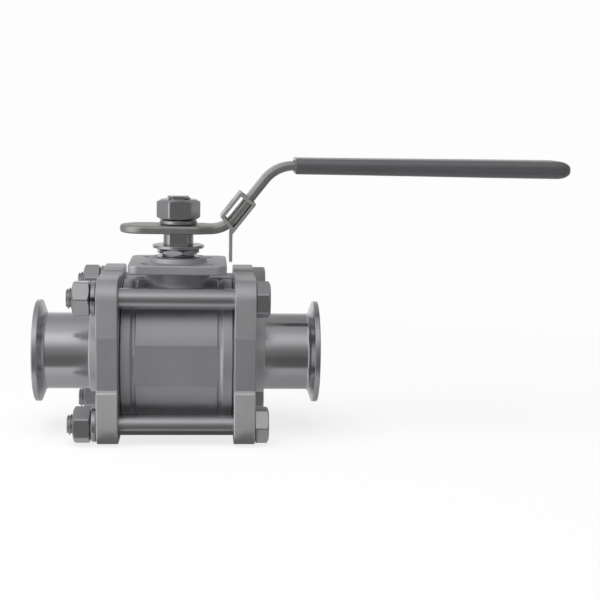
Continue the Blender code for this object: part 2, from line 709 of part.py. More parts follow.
def strip_section(x, z, angle, half):
    """Give one chamfered section across a strip that slopes by angle."""
    high = LEVER_THICKNESS / 2
    chamfer = min(LEVER_CHAMFER, half / 2)
    quarter = [(half, high - chamfer), (half - chamfer, high)]
    side = quarter + [(-y, up) for y, up in quarter[::-1]]
    section = []
    for y, up in side + [(-y, -up) for y, up in side]:
        section.append((x - up * math.sin(angle), y, z + up * math.cos(angle)))
    return section


def slope_frame():
    """Give the frame on the lever's slanted part: X up the slope and Z off its upper face."""
    return Matrix.Translation((LOWER_CORNER, 0, LEVER_MIDDLE)) @ Matrix.Rotation(-LEVER_SLOPE, 4, "Y")


def lever():
    """Make the bent strip lever, with its keyed stem hole and its padlock hole."""
    sections = [strip_section(x, z, angle, lever_half_width(x)) for x, z, angle in lever_path()]
    strip = lofted(sections)
    eye = cylinder(THREAD_RADIUS + GAP, LEVER_BOTTOM - LEVER_THICKNESS, LEVER_TOP + LEVER_THICKNESS)
    flat = THREAD_FLAT + GAP
    keyed = kept(eye, box((-COLLAR_RADIUS, -flat, 0), (COLLAR_RADIUS, flat, STEM_TOP)))
    hole = cylinder(PADLOCK_HOLE_RADIUS, -LEVER_THICKNESS, LEVER_THICKNESS)
    hole = moved(hole, slope_frame() @ Matrix.Translation((LATCH_MIDDLE - LATCH_DROP, 0, 0)))
    return cut(strip, keyed, hole)


def grip_section(x, half_width, half_height, corner):
    """Give one section of the grip with rounded corners."""
    corners = [(y * half_width, z * half_height, corner) for y, z in ((1, -1), (1, 1), (-1, 1), (-1, -1))]
    return [(x, y, GRIP_MIDDLE + z) for y, z in filleted(corners)]


def lever_grip():
    """Make the soft sleeve: a rounded closed end, and a hollow that the bar fills."""
    half_height = LEVER_THICKNESS / 2 + GAP + GRIP_WALL
    half_width = LEVER_ARM_HALF + GAP + GRIP_WALL
    end_height = half_height + GRIP_SWELL
    end_width = half_width + GRIP_SWELL
    mouth = GRIP_START + GAP
    edge = GRIP_MOUTH_EDGE
    sections = [grip_section(mouth, half_width - edge, half_height - edge, GRIP_CORNER - edge)]
    sections.append(grip_section(mouth + edge, half_width, half_height, GRIP_CORNER))
    end_round = end_height - GRIP_TIP_HALF
    for step in range(GRIP_END_STEPS + 1):
        angle = math.pi / 2 * step / GRIP_END_STEPS
        shrink = end_round * (1 - math.cos(angle))
        x = LEVER_REACH - GRIP_NOSE * (1 - math.sin(angle))
        corner = max(GRIP_CORNER - shrink, GRIP_TIP_HALF / 2)
        sections.append(grip_section(x, end_width - shrink, end_height - shrink, corner))
    hollow_width = LEVER_ARM_HALF + GAP
    hollow_height = LEVER_THICKNESS / 2 + GAP
    low = (mouth - LEVER_THICKNESS, -hollow_width, GRIP_MIDDLE - hollow_height)
    high = (BAR_END + GAP, hollow_width, GRIP_MIDDLE + hollow_height)
    return cut(lofted(sections), box(low, high))


def latch():
    """Make the latch in the slope's frame: a tongue and a plate under the lever, and a bridge over it."""
    under = -LEVER_THICKNESS / 2 - GAP
    bottom = under - LATCH_SHEET
    over = LEVER_THICKNESS / 2 + LATCH_HEADROOM
    top = over + LATCH_SHEET
    end = LATCH_START + LATCH_LENGTH
    cosine = math.cos(LEVER_SLOPE)
    sine = math.sin(LEVER_SLOPE)

    def on_slope(x, z):
        across = x - LOWER_CORNER
        above = z - LEVER_MIDDLE
        return across * cosine + above * sine, above * cosine - across * sine

    def meets(x, level):
        """Find where an upright line at x meets the slope's line at this level."""
        return (x - LOWER_CORNER + level * sine) / cosine, level

    left = TONGUE_MIDDLE - LATCH_SHEET / 2
    right = TONGUE_MIDDLE + LATCH_SHEET / 2
    corners = [
        (*on_slope(left, TONGUE_TIP), 0),
        (*on_slope(right, TONGUE_TIP), 0),
        (*meets(right, bottom), LATCH_BEND_RADIUS + LATCH_SHEET),
        (end, bottom, 0),
        (end, top, 0),
        (LATCH_START + LATCH_LEAN, top, 0),
        (LATCH_START, under, 0),
        (*meets(left, under), LATCH_BEND_RADIUS),
    ]
    half = LEVER_ARM_HALF + GAP + LATCH_SHEET
    upright = Matrix.Rotation(math.pi / 2, 4, "X")
    sheet = moved(prism(filleted(corners), -half, half), upright)
    channel = box((LATCH_START - LATCH_STRAP, -LEVER_ARM_HALF - GAP, under), (end + GAP, LEVER_ARM_HALF + GAP, over))
    low_edge = LATCH_START + LATCH_STRAP
    high_edge = low_edge + LATCH_LEAN * (over - under) / (top - under)
    view = [(low_edge, under), (end - LATCH_STRAP, under), (end - LATCH_STRAP, over), (high_edge, over)]
    window = moved(prism(view, -half * 2, half * 2), upright)
    sheet = cut(sheet, channel, window)
    low = bottom - LEVER_ABOVE_PAD * 2
    tongue_end = on_slope(TONGUE_MIDDLE, TONGUE_TIP)[0]
    for side in (-1, 1):
        ends = sorted((side * TONGUE_WIDTH / 2, side * half * 2))
        trim = box((tongue_end * 2, ends[0], low), (LATCH_START - LATCH_STRAP / 2, ends[1], top))
        sheet = cut(sheet, trim)
    hole = moved(cylinder(PADLOCK_HOLE_RADIUS, low, top * 2), Matrix.Translation((LATCH_MIDDLE, 0, 0)))
    return cut(sheet, hole)


def body_bolt():
    """Make a hex bolt along Z with its head at the top."""
    seat_height = FLANGE_OUTER + GAP
    head_top = seat_height + BOLT_HEAD_HEIGHT
    nut_end = -FLANGE_OUTER - 3 * GAP - LOCK_WASHER_THICKNESS - BODY_NUT_HEIGHT
    tip = nut_end - BOLT_END_BEYOND_NUT
    head = turned_blank(BOLT_HEAD_ACROSS, seat_height, head_top, BOLT_RADIUS, low_bevel=False)
    shank = [(0, tip), (BOLT_RADIUS - BOLT_TIP_EDGE, tip), (BOLT_RADIUS, tip + BOLT_TIP_EDGE)]
    rows = [*shank, *head[:-1], (0, head_top)]
    blank = turned(rows, SMALL_STEPS)
    return kept(blank, prism(hexagon(BOLT_HEAD_ACROSS), tip - GAP, head_top + GAP))


def build_body(root, cast, polished, white):
    piece("centre_body", middle_piece(), cast, root, smooth=CAST_SMOOTH_ANGLE)
    cap = end_cap()
    ring_seat = seat()
    seal = body_seal()
    for side, turn in (("right", 0), ("left", math.pi)):
        piece(f"{side}_end_cap", cap.copy(), polished, root, (0, 0, turn))
        piece(f"{side}_seat", ring_seat.copy(), white, root, (0, 0, turn))
        piece(f"{side}_body_seal", seal.copy(), white, root, (0, 0, turn))


def build_bolts(root, bolt_steel):
    """Place the four bolts, each with its washer and nut on the left."""
    bolt = along_pipe(body_bolt())
    washer_outer = -FLANGE_OUTER - GAP
    washer_inner = washer_outer - LOCK_WASHER_THICKNESS
    washer = along_pipe(split_washer(BOLT_RADIUS + GAP, LOCK_WASHER_RADIUS, washer_inner, washer_outer))
    nut_outer = washer_inner - GAP
    nut = along_pipe(hex_nut(BOLT_HEAD_ACROSS, BOLT_RADIUS + GAP, nut_outer - BODY_NUT_HEIGHT, nut_outer))
    places = [(y, z) for z in (-BOLT_OFFSET, BOLT_OFFSET) for y in (-BOLT_OFFSET, BOLT_OFFSET)]
    shapes = (("body_bolt", bolt), ("body_nut", nut), ("bolt_lock_washer", washer))
    for number, ((y, z), turns) in enumerate(zip(places, BOLT_TURNS), start=1):
        for (name, mesh), turn in zip(shapes, turns):
            spin = (math.radians(turn), 0, 0)
            piece(f"{name}_{number}", mesh.copy(), bolt_steel, root, spin, (0, y, z))


def build_packing(root, white, bolt_steel):
    piece("thrust_washer", ring(STEM_RADIUS + GAP, COLLAR_RADIUS, THRUST_BOTTOM, THRUST_TOP, SMALL_STEPS), white, root)
    for index in range(PACKING_RINGS):
        piece(f"packing_ring_{index + 1}", packing_ring(index), white, root)
    piece("packing_gland", packing_gland(), bolt_steel, root)


def build_stem(axis, steel, bolt_steel):
    piece("stem", stem(), steel, axis)
    piece("disc_spring_1", disc_spring(LOWER_SPRING, False), bolt_steel, axis)
    piece("disc_spring_2", disc_spring(UPPER_SPRING, True), bolt_steel, axis)
    nut_turn = GLAND_NUT_TURN + math.pi / 6
    gland_nut = hex_nut(GLAND_NUT_ACROSS, STEM_RADIUS + GAP, GLAND_NUT_BOTTOM, GLAND_NUT_TOP, nut_turn)
    piece("gland_nut", gland_nut, bolt_steel, axis)
    piece("tab_washer", tab_washer(), bolt_steel, axis)


def build_lever(axis, steel, bolt_steel, vinyl):
    piece("lever", lever(), steel, axis)
    washer_top = STEM_WASHER_BOTTOM + STEM_WASHER_THICKNESS
    washer = split_washer(THREAD_RADIUS + GAP, STEM_WASHER_RADIUS, STEM_WASHER_BOTTOM, washer_top)
    piece("lever_lock_washer", washer, bolt_steel, axis)
    nut = hex_nut(STEM_NUT_ACROSS, THREAD_RADIUS + GAP, STEM_NUT_BOTTOM, STEM_NUT_TOP, STEM_NUT_TURN)
    piece("stem_nut", nut, bolt_steel, axis)
    piece("lever_grip", lever_grip(), vinyl, axis)


def main():
    clear_scene()
    cast = material("bead_blasted_steel", (0.30, 0.30, 0.31), 0.55, 1.0)
    polished = material("end_steel", (0.42, 0.42, 0.43), 0.35, 1.0)
    mirror = material("polished_ball", (0.60, 0.60, 0.61), 0.12, 1.0)
    steel = material("brushed_steel", (0.40, 0.40, 0.40), 0.4, 1.0)
    bolt_steel = material("bolt_steel", (0.38, 0.38, 0.39), 0.35, 1.0)
    white = material("white_seal", (0.85, 0.85, 0.83), 0.5, 0.0)
    vinyl = material("grey_vinyl", (0.09, 0.09, 0.10), 0.5, 0.0)

    root = pivot("valve", None, STAND)
    build_body(root, cast, polished, white)
    build_bolts(root, bolt_steel)
    build_packing(root, white, bolt_steel)
    ball_axis = pivot("ball_axis", root)
    piece("ball", valve_ball(), mirror, ball_axis)
    stem_axis = pivot("stem_axis", root)
    build_stem(stem_axis, steel, bolt_steel)
    build_lever(stem_axis, steel, bolt_steel, vinyl)
    slide = pivot("latch_slide", stem_axis, (LOWER_CORNER, 0, LEVER_MIDDLE), (0, -LEVER_SLOPE, 0))
    piece("lock_latch", latch(), steel, slide)


if __name__ == "__main__":
    main()
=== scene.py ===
"""Three-piece ball valve: finely modelled pieces, their finishes and a plain pale studio.

Every size is in metres. Shapes are made about the heart of the valve, where the pipe axis (X) meets the
stem axis (Z), and are then moved to the heart's place in the frame.
"""

import json
import math

import bmesh
import bpy
from bpy.props import FloatProperty, FloatVectorProperty, IntProperty, PointerProperty
from mathutils import Matrix, Vector


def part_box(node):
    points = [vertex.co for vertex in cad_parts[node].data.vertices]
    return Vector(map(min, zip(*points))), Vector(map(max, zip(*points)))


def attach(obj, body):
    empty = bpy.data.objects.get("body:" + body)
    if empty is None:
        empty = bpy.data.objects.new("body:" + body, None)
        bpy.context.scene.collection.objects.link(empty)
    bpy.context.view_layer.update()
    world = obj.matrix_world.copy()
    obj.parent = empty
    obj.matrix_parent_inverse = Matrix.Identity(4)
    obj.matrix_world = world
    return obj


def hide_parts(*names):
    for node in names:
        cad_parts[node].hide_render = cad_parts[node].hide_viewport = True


bl_info = {
    "name": "Three-piece ball valve",
    "version": (1, 0, 0),
    "blender": (4, 5, 0),
    "location": "View3D > Sidebar > Valve",
    "description": "Makes the pieces, finishes and studio of a three-piece ball valve",
    "category": "Add Mesh",
}

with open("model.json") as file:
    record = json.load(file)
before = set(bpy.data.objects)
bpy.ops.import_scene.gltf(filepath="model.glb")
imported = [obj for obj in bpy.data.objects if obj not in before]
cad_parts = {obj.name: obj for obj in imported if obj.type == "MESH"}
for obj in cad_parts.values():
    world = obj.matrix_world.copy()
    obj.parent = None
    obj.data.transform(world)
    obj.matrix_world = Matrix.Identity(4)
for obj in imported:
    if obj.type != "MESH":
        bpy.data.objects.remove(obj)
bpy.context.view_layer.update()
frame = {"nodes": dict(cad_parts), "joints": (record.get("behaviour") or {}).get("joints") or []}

# Places that the frame gives
HEART = Vector(next(joint["pos_m"] for joint in frame["joints"] if joint["name"] == "ball_turn"))
FLANGE_HALF = (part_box("left_end_cap")[1].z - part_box("left_end_cap")[0].z) / 2
BOLT_OFFSET = (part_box("body_bolt_4")[0].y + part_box("body_bolt_4")[1].y) / 2
HALF_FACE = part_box("right_end_cap")[1].x - HEART.x
BODY_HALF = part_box("centre_body")[1].x - HEART.x
BODY_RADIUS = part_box("centre_body")[1].y
BOSS_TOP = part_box("centre_body")[1].z - HEART.z
LEVER_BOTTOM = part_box("lever")[0].z - HEART.z
LEVER_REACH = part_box("lever_grip")[1].x - HEART.x
STEM_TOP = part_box("stem")[1].z - HEART.z

# Clearance between pieces that touch, and the distance at which points are welded
GAP = 0.0003
MERGE = 1e-7

FULL_TURN = 2 * math.pi
SMOOTH_ANGLE = math.radians(30)
END_SMOOTH_ANGLE = math.radians(20)
CAST_SMOOTH_ANGLE = math.radians(9)
SQUARE = ((1, -1), (1, 1), (-1, 1), (-1, -1))


def number(name, default, description, **kind):
    """Give a property for one number."""
    return FloatProperty(name=name, description=description, default=default, **kind)


def numbers(name, default, description, **kind):
    """Give a property for a few numbers that belong together."""
    return FloatVectorProperty(name=name, description=description, default=default, size=len(default), **kind)


def length(name, default, description):
    """Give a property for one length."""
    return number(name, default, description, min=0.0, unit="LENGTH", precision=5)


def tilt(name, degrees, description):
    """Give a property for one angle of the valve."""
    return number(name, math.radians(degrees), description, subtype="ANGLE")


def tilts(name, degrees, description):
    """Give a property for one angle at each of the four bolts."""
    return numbers(name, [math.radians(angle) for angle in degrees], description, unit="ROTATION")


def tone(name, default, description):
    """Give a property for one colour."""
    return numbers(name, default, description, min=0.0, max=1.0, subtype="COLOR")


def spot(name, default, description):
    """Give a property for one place, measured from the valve's heart."""
    return numbers(name, default, description, subtype="TRANSLATION", unit="LENGTH", precision=5)


class BodySizes(bpy.types.PropertyGroup):
    """Sizes of the cast middle piece"""

    cavity_radius: length("Cavity radius", 0.028, "Radius of the bore that holds ball and seats")
    rim_edge: length("Rim edge", 0.0006, "Rounding of the barrel's end rims")
    ring_width: length("Ring width", 0.0059, "Width of the plain ring at each end")
    groove_width: length("Groove width", 0.0009, "Width of the groove beside each ring")
    groove_depth: length("Groove depth", 0.001, "Depth of the groove beside each ring")
    groove_slope: length("Groove slope", 0.0013, "Width of the slope from each groove up to its ring")
    flat_half: length("Flat half height", 0.0101, "Half height of the flats on front and back")
    flat_turn: tilt("Flat turn", 2.2, "Angle that the pair of flats is turned to, the front one down")
    seal_inner: length("Seal groove inner radius", 0.0295, "Inner radius of the seal groove")
    seal_outer: length("Seal groove outer radius", 0.0325, "Outer radius of the seal groove")
    seal_depth: length("Seal groove depth", 0.0015, "Depth of the seal groove")
    neck_radius: length("Neck radius", 0.0155, "Radius of the neck under the pad")
    neck_fillet: length("Neck fillet", 0.0032, "Fillet between neck and barrel")
    neck_foot: length("Neck foot", 0.0022, "Depth of the neck's foot under the middle of the barrel's wall")
    pad_half: length("Pad half width", 0.0239, "Half width of the square pad")
    pad_top: length("Pad height", 0.0455, "Height of the pad's face over the pipe axis")
    pad_thickness: length("Pad thickness", 0.0045, "Thickness of the pad")
    pad_corner: length("Pad corner", 0.005, "Radius of the pad's corners")
    pad_edge: length("Pad edge", 0.0006, "Rounding of the pad's rims")
    hole_offset: length("Hole offset", 0.01485, "Distance of the pad's holes from both centre lines")
    hole_radius: length("Hole radius", 0.00275, "Radius of the pad's holes")
    boss_radius: length("Boss radius", 0.0142, "Radius of the boss on the pad")
    chamber_radius: length("Chamber radius", 0.0109, "Radius of the packing chamber")
    chamber_floor: length("Chamber floor", 0.0375, "Height of the chamber's floor over the pipe axis")
    shank_bore: length("Shank bore radius", 0.00775, "Radius of the bore round the stem's shank")
    pocket_radius: length("Pocket radius", 0.0103, "Radius of the pocket for the stem's collar")
    pocket_top: length("Pocket top", 0.0335, "Height of the pocket's top over the pipe axis")


class EndSizes(bpy.types.PropertyGroup):
    """Sizes of the end caps"""

    bore_radius: length("Bore radius", 0.0174, "Radius of the flow way")
    tube_radius: length("Tube radius", 0.01905, "Outer radius of the tube")
    ferrule_radius: length("Ferrule radius", 0.02525, "Outer radius of the clamp ferrule")
    ferrule_rim: length("Ferrule rim", 0.0026, "Thickness of the ferrule at its rim")
    ferrule_back: tilt("Ferrule back", 20, "Angle of the ferrule's tapered back")
    ferrule_fillet: length("Ferrule fillet", 0.0018, "Fillet between the tube and the ferrule's back")
    ferrule_edge: length("Ferrule edge", 0.0005, "Rounding of the ferrule's rim")
    groove_radius: length("Gasket groove radius", 0.0218, "Radius of the gasket groove's middle")
    groove_width: length("Gasket groove width", 0.0032, "Width of the gasket groove")
    hub_radius: length("Hub radius", 0.02055, "Radius of the hub on the flange")
    hub_length: length("Hub length", 0.0052, "Length of the hub")
    hub_edge: length("Hub edge", 0.0008, "Rounding of the hub")
    hub_fillet: length("Hub fillet", 0.0011, "Fillet between hub and flange")
    flange_inner: length("Flange inner face", 0.027596, "Distance of the inner face from the stem axis")
    flange_outer: length("Flange outer face", 0.037796, "Distance of the outer face from the stem axis")
    flange_edge: length("Flange edge", 0.0005, "Rounding of the flange's rims")
    ear_radius: length("Ear radius", 0.0094, "Radius of the ears round the bolts")
    waist_half: length("Waist half width", 0.0127, "Half width of the set-back waist on each side")
    waist_depth: length("Waist depth", 0.0014, "How far the waist is set back")
    waist_step: length("Waist step", 0.0008, "Length of the slope from waist to ear")
    waist_fillet: length("Waist fillet", 0.0013, "Fillet at both ends of the slope")
    spigot_radius: length("Spigot radius", 0.0352, "Radius of the raised face against the barrel")


class BoltSizes(bpy.types.PropertyGroup):
    """Sizes of the body bolts, nuts and washers"""

    radius: length("Bolt radius", 0.005, "Radius of the bolt's shank")
    across: length("Across flats", 0.016, "Width of heads and nuts across their flats")
    head_height: length("Head height", 0.0064, "Height of the bolt's head")
    nut_height: length("Nut height", 0.0084, "Height of the nut")
    washer_thickness: length("Washer thickness", 0.0022, "Thickness of the split washer")
    washer_radius: length("Washer radius", 0.0083, "Outer radius of the split washer")
    end_beyond: length("End beyond nut", 0.003, "How far the bolt's end stands out of its nut")
    end_bevel: length("End bevel", 0.0009, "Bevel of the bolt's end")
    pitch: length("Thread pitch", 0.0015, "Pitch of the bolt's thread")
    depth: length("Thread depth", 0.0009, "Depth of the bolt's thread")
    thread_length: length("Thread length", 0.022, "Length of the bolt's thread")
    head_turns: tilts("Head turns", (30, 48, 8, 20), "Angles of the heads: low front, low back, then high")
    nut_turns: tilts("Nut turns", (3, 40, 27, 12), "Angles of the nuts, in the heads' order")
    washer_turns: tilts("Washer turns", (200, 65, 265, 140), "Angles of the washers, in the heads' order")


class StemSizes(bpy.types.PropertyGroup):
    """Sizes of the stem, of what is threaded on it and of the ball's slot"""

    shank_radius: length("Shank radius", 0.00745, "Radius of the stem's shank")
    shank_flat: length("Shank flat", 0.0062, "Distance of the shank's flats from the stem axis")
    collar_radius: length("Collar radius", 0.010, "Radius of the collar in the pocket")
    collar_bottom: length("Collar bottom", 0.0286, "Height of the collar's bottom over the pipe axis")
    collar_top: length("Collar top", 0.0314, "Height of the collar's top over the pipe axis")
    tang_half: length("Tang half width", 0.004, "Half width of the tang along the pipe")
    tang_reach: length("Tang reach", 0.0085, "Half width of the tang across the pipe")
    tang_bottom: length("Tang bottom", 0.0209, "Height of the tang's end over the pipe axis")
    slot_half: length("Slot half width", 0.0043, "Half width of the ball's slot")
    slot_floor: length("Slot floor", 0.0206, "Height of the slot's floor over the pipe axis")
    thread_radius: length("Thread radius", 0.006, "Radius of the stem's threaded end")
    thread_flat: length("Thread flat", 0.0045, "Distance of the thread's flats from the stem axis")
    end_bevel: length("End bevel", 0.0007, "Bevel of the threaded end")
    pitch: length("Thread pitch", 0.00175, "Pitch of the stem's thread")
    depth: length("Thread depth", 0.0010, "Depth of the stem's thread")
    gland_across: length("Gland nut across flats", 0.017, "Width of the gland nut across its flats")
    gland_turn: tilt("Gland nut turn", 45, "Angle that the gland nut is turned to")
    nut_across: length("Stem nut across flats", 0.019, "Width of the stem nut across its flats")
    nut_turn: tilt("Stem nut turn", 6, "Angle that the stem nut is turned to")
    washer_radius: length("Lever washer radius", 0.0093, "Outer radius of the washer under the stem nut")
    tab_edge: length("Tab washer edge", 0.00025, "Rounding of the tab washer's edges")


class LeverSizes(bpy.types.PropertyGroup):
    """Sizes of the lever and its grip"""

    thickness: length("Thickness", 0.004, "Thickness of the lever's strip")
    edge: length("Edge rounding", 0.0013, "Rounding of the strip's edges")
    tail: length("Tail", 0.02875, "How far the tail reaches from the stem axis")
    hub_half: length("Hub half width", 0.012, "Half width of the strip round the stem")
    arm_half: length("Arm half width", 0.009, "Half width of the strip's arm")
    taper_length: length("Taper length", 0.010, "Length of the taper from hub to arm")
    taper_to_corner: length("Taper to corner", 0.0044, "From the taper's end to the lower bend's corner")
    lower_corner: length("Lower corner", 0.0231035, "Distance of the lower bend's corner from the stem axis")
    rise: length("Rise", 0.0317, "Height of the arm over the hub")
    slope: tilt("Slope", 52, "Angle of the slanted part")
    lower_bend: length("Lower bend radius", 0.015, "Radius of the lower bend")
    upper_bend: length("Upper bend radius", 0.018, "Radius of the upper bend")
    eye_radius: length("Eye radius", 0.0063, "Radius of the eye round the stem's threaded end")
    eye_flat: length("Eye flat", 0.0048, "Distance of the eye's flats from the stem axis")
    lock_hole: length("Lock hole radius", 0.0033, "Radius of the padlock's hole")
    lock_hole_place: length("Lock hole place", 0.0092, "Distance of the padlock's hole up the slanted part")
    grip_wall: length("Grip wall", 0.0016, "Wall of the sleeve")
    grip_swell: length("Grip swell", 0.00045, "How much the sleeve swells towards its end")
    grip_end: length("Grip end wall", 0.0055, "Thickness of the sleeve's closed end")
    grip_nose: length("Grip nose", 0.0065, "Length of the sleeve's domed end")
    grip_corner: length("Grip corner", 0.0034, "Rounding of the sleeve's section")
    grip_lip: length("Grip lip", 0.0006, "Rounding of the sleeve's mouth")
    latch_edge: length("Latch edge", 0.00028, "Rounding of the latch's edges")


class Finishes(bpy.types.PropertyGroup):
    """Colours of the valve's metals, seals and sleeve"""

    casting: tone("Casting", (0.60, 0.60, 0.625), "Bead-blasted middle piece")
    # painted light: a lighter tone on the pad stands in for the light its upward face catches
    pad: tone("Pad", (0.76, 0.76, 0.785), "Mounting pad, blasted brighter than the barrel")
    flange: tone("Flange", (0.60, 0.60, 0.625), "Bead-blasted flanges")
    # painted light: a lighter tone on the flanges' ear rims and hubs stands in for the light they catch
    ear_painted_light: tone("Ear", (0.90, 0.90, 0.93), "Rims of the flanges' ears, blasted brighter than the waists")
    tube: tone("Tube", (0.62, 0.62, 0.64), "Polished tube and ferrule")
    fastener: tone("Fastener", (0.56, 0.56, 0.58), "Bolts, nuts and washers")
    lever: tone("Lever", (0.50, 0.50, 0.485), "Lever")
    latch: tone("Latch", (0.74, 0.74, 0.73), "Sliding latch")
    shank: tone("Stem", (0.52, 0.52, 0.54), "Ground stem")
    mirror: tone("Ball", (0.72, 0.72, 0.73), "Polished ball")
    seal: tone("Seal", (0.84, 0.84, 0.81), "Seats, seals and packing")
    sleeve: tone("Sleeve", (0.063, 0.062, 0.069), "Vinyl sleeve")


class Studio(bpy.types.PropertyGroup):
    """The camera and the studio round the valve"""

    camera: spot("Camera", (0.013391, -0.659489, 0.122660), "Place of the camera from the valve's heart")
    yaw: number("Yaw", 0.072, "Turn towards +X", subtype="ANGLE")
    pitch: number("Pitch", 0.145, "Turn down", subtype="ANGLE")
    roll: number("Roll", -0.018, "Turn about the line of sight", subtype="ANGLE")
    lens: number("Lens", 79.85, "Focal length", unit="CAMERA")
    sensor: number("Sensor", 36.0, "Width of the camera's sensor", unit="CAMERA")
    floor_size: length("Floor size", 8.0, "Width of the floor")
    backdrop: number("Backdrop", 0.982, "Brightness of floor and background")
    shadow: number("Shadow", 0.20, "Share of the floor that takes light")
    shade: number("Shade", 0.09, "Brightness of the cards under the valve")
    lamp_power: number("Lamp power", 9.0, "Power of the overhead lamp", unit="POWER")
    lamp: spot("Lamp", (-0.15, -0.25, 0.95), "Place of the overhead lamp from the valve's heart")
    lamp_width: length("Lamp width", 0.9, "Width of the overhead lamp")
    lamp_depth: length("Lamp depth", 0.7, "Depth of the overhead lamp")
    facets: IntProperty(
        name="Facets", description="Facets round the large turned pieces", default=144, min=24
    )


class Value:
    """A number that varies over a surface or a shape; arithmetic on it adds Math nodes."""

    def __init__(self, graph, socket):
        self.graph = graph
        self.socket = socket

    def __add__(self, other):
        return self.graph.math("ADD", self, other)

    def __sub__(self, other):
        return self.graph.math("SUBTRACT", self, other)

    def __rsub__(self, other):
        return self.graph.math("SUBTRACT", other, self)

    def __mul__(self, other):
        return self.graph.math("MULTIPLY", self, other)

    def __truediv__(self, other):
        return self.graph.math("DIVIDE", self, other)

    def __rtruediv__(self, other):
        return self.graph.math("DIVIDE", other, self)

    def __pow__(self, other):
        return self.graph.math("POWER", self, other)

    def __abs__(self):
        return self.graph.math("ABSOLUTE", self)

    __radd__ = __add__
    __rmul__ = __mul__


class Graph:
    """A node tree that is built by calls."""

    def __init__(self, tree):
        self.tree = tree

    def feed(self, socket, value):
        if isinstance(value, Value):
            value = value.socket
        if isinstance(value, bpy.types.NodeSocket):
            self.tree.links.new(value, socket)
        else:
            socket.default_value = value

    def node(self, kind, settings=None, inputs=None):
        """Add a node, set it, then fill or link its inputs."""
        made = self.tree.nodes.new(kind)
        for name, value in (settings or {}).items():
            if name == "stops":
                ramp = made.color_ramp
                while len(ramp.elements) < len(value):
                    ramp.elements.new(0.5)
                for element, (place, level) in zip(ramp.elements, value):
                    element.position = place
                    element.color = (level, level, level, 1)
            else:
                setattr(made, name, value)
        for name, value in (inputs or {}).items():
            self.feed(made.inputs[name], value)
        return made

    def math(self, operation, *values):
        made = self.node("ShaderNodeMath", {"operation": operation}, dict(enumerate(values)))
        return Value(self, made.outputs[0])

    def step(self, value, low, high):
        """Rise smoothly from 0 at low to 1 at high."""
        settings = {"interpolation_type": "SMOOTHSTEP"}
        made = self.node("ShaderNodeMapRange", settings, {"Value": value, "From Min": low, "From Max": high})
        return Value(self, made.outputs[0])

    def parts(self, vector):
        made = self.node("ShaderNodeSeparateXYZ", inputs={0: vector})
        return [Value(self, socket) for socket in made.outputs]

    def joined(self, *values):
        return self.node("ShaderNodeCombineXYZ", inputs=dict(enumerate(values))).outputs[0]

    def mixed(self, factor, first, second):
        """Mix two colours."""
        return self.node("ShaderNodeMix", {"data_type": "RGBA"}, {0: factor, 6: first, 7: second}).outputs[2]


def emptied(owner):
    """Give the emptied node tree of a material or a world."""
    owner.use_nodes = True
    owner.node_tree.nodes.clear()
    return Graph(owner.node_tree)


class Finish(Graph):
    """A material that is built up from noise, lines and bumps over its object's coordinates."""

    def __init__(self, name, metallic=1.0):
        self.material = bpy.data.materials.new(name)
        self.material.use_nodes = True
        super().__init__(self.material.node_tree)
        self.shader = self.tree.nodes["Principled BSDF"]
        self.shader.inputs["Metallic"].default_value = metallic
        self.place = self.node("ShaderNodeTexCoord").outputs["Object"]

    def noise(self, scale, detail=3.0, stretch=(1, 1, 1), vector=None):
        mapped = self.node("ShaderNodeMapping", inputs={"Vector": vector or self.place, "Scale": stretch})
        inputs = {"Vector": mapped.outputs[0], "Scale": scale, "Detail": detail}
        return Value(self, self.node("ShaderNodeTexNoise", inputs=inputs).outputs[0])

    def cells(self, scale):
        inputs = {"Vector": self.place, "Scale": scale}
        return Value(self, self.node("ShaderNodeTexVoronoi", inputs=inputs).outputs["Distance"])

    def lathe_marks(self, centres, along, scale):
        """Give fine lines that run round an axis, from the height along it and the distance to it."""
        axes = self.parts(self.place)
        across = [index for index in range(3) if index != along]
        offsets = [centres(index, axes[index]) for index in across]
        radius = (offsets[0] * offsets[0] + offsets[1] * offsets[1]) ** 0.5
        return self.noise(scale, vector=self.joined(axes[along], radius, 0.0))

    def shades(self, colour, factor, low, high):
        """Vary a colour between two shares of itself."""
        dark, light = ((*[min(1, part * share) for part in colour], 1) for share in (low, high))
        return self.mixed(factor, dark, light)

    def colour(self, colour, factor, low, high):
        self.feed(self.shader.inputs["Base Color"], self.shades(colour, factor, low, high))

    def roughness(self, value):
        self.feed(self.shader.inputs["Roughness"], value)

    def bump(self, height, distance):
        made = self.node("ShaderNodeBump", inputs={"Strength": 1.0, "Distance": distance, "Height": height})
        self.feed(self.shader.inputs["Normal"], made.outputs[0])


def about_heart(index, value):
    """Measure from the valve's heart."""
    return value - HEART[index]


def about_bolts(index, value):
    """Measure from the nearest of the four bolts."""
    return abs(value - HEART[index]) - BOLT_OFFSET


def ears_and_hub_painted_light(finish):
    """Mark a flange's painted light: its ears' rims, the upper ones faintly, and its hub, less than the lower
    ears.
    """
    ear_side = (0.0122, 0.0136)
    ear_reach = (0.0345, 0.0382)
    hub_face = (0.0379, 0.0383)
    upper_half = (-0.012, 0.012)
    upper_loss, hub_share = 0.64, 0.65
    x, y, z = finish.parts(finish.place)
    height = z - HEART.z
    reach = finish.math("MAXIMUM", abs(y), abs(height))
    side = finish.math("MINIMUM", abs(y), abs(height))
    ears = finish.step(side, *ear_side) * finish.step(reach, *ear_reach)
    # painted light: the upper ears get less of the lighter tone than the lower ones
    ears = ears * (1 - finish.step(height, *upper_half) * upper_loss)
    return finish.math("MAXIMUM", ears, finish.step(abs(x - HEART.x), *hub_face) * hub_share)


def pad_painted_light(finish):
    """Mark the mounting pad with its boss, which gets painted light."""
    pad_underside = (HEART.z + 0.0400, HEART.z + 0.0412)
    return finish.step(finish.parts(finish.place)[2], *pad_underside)


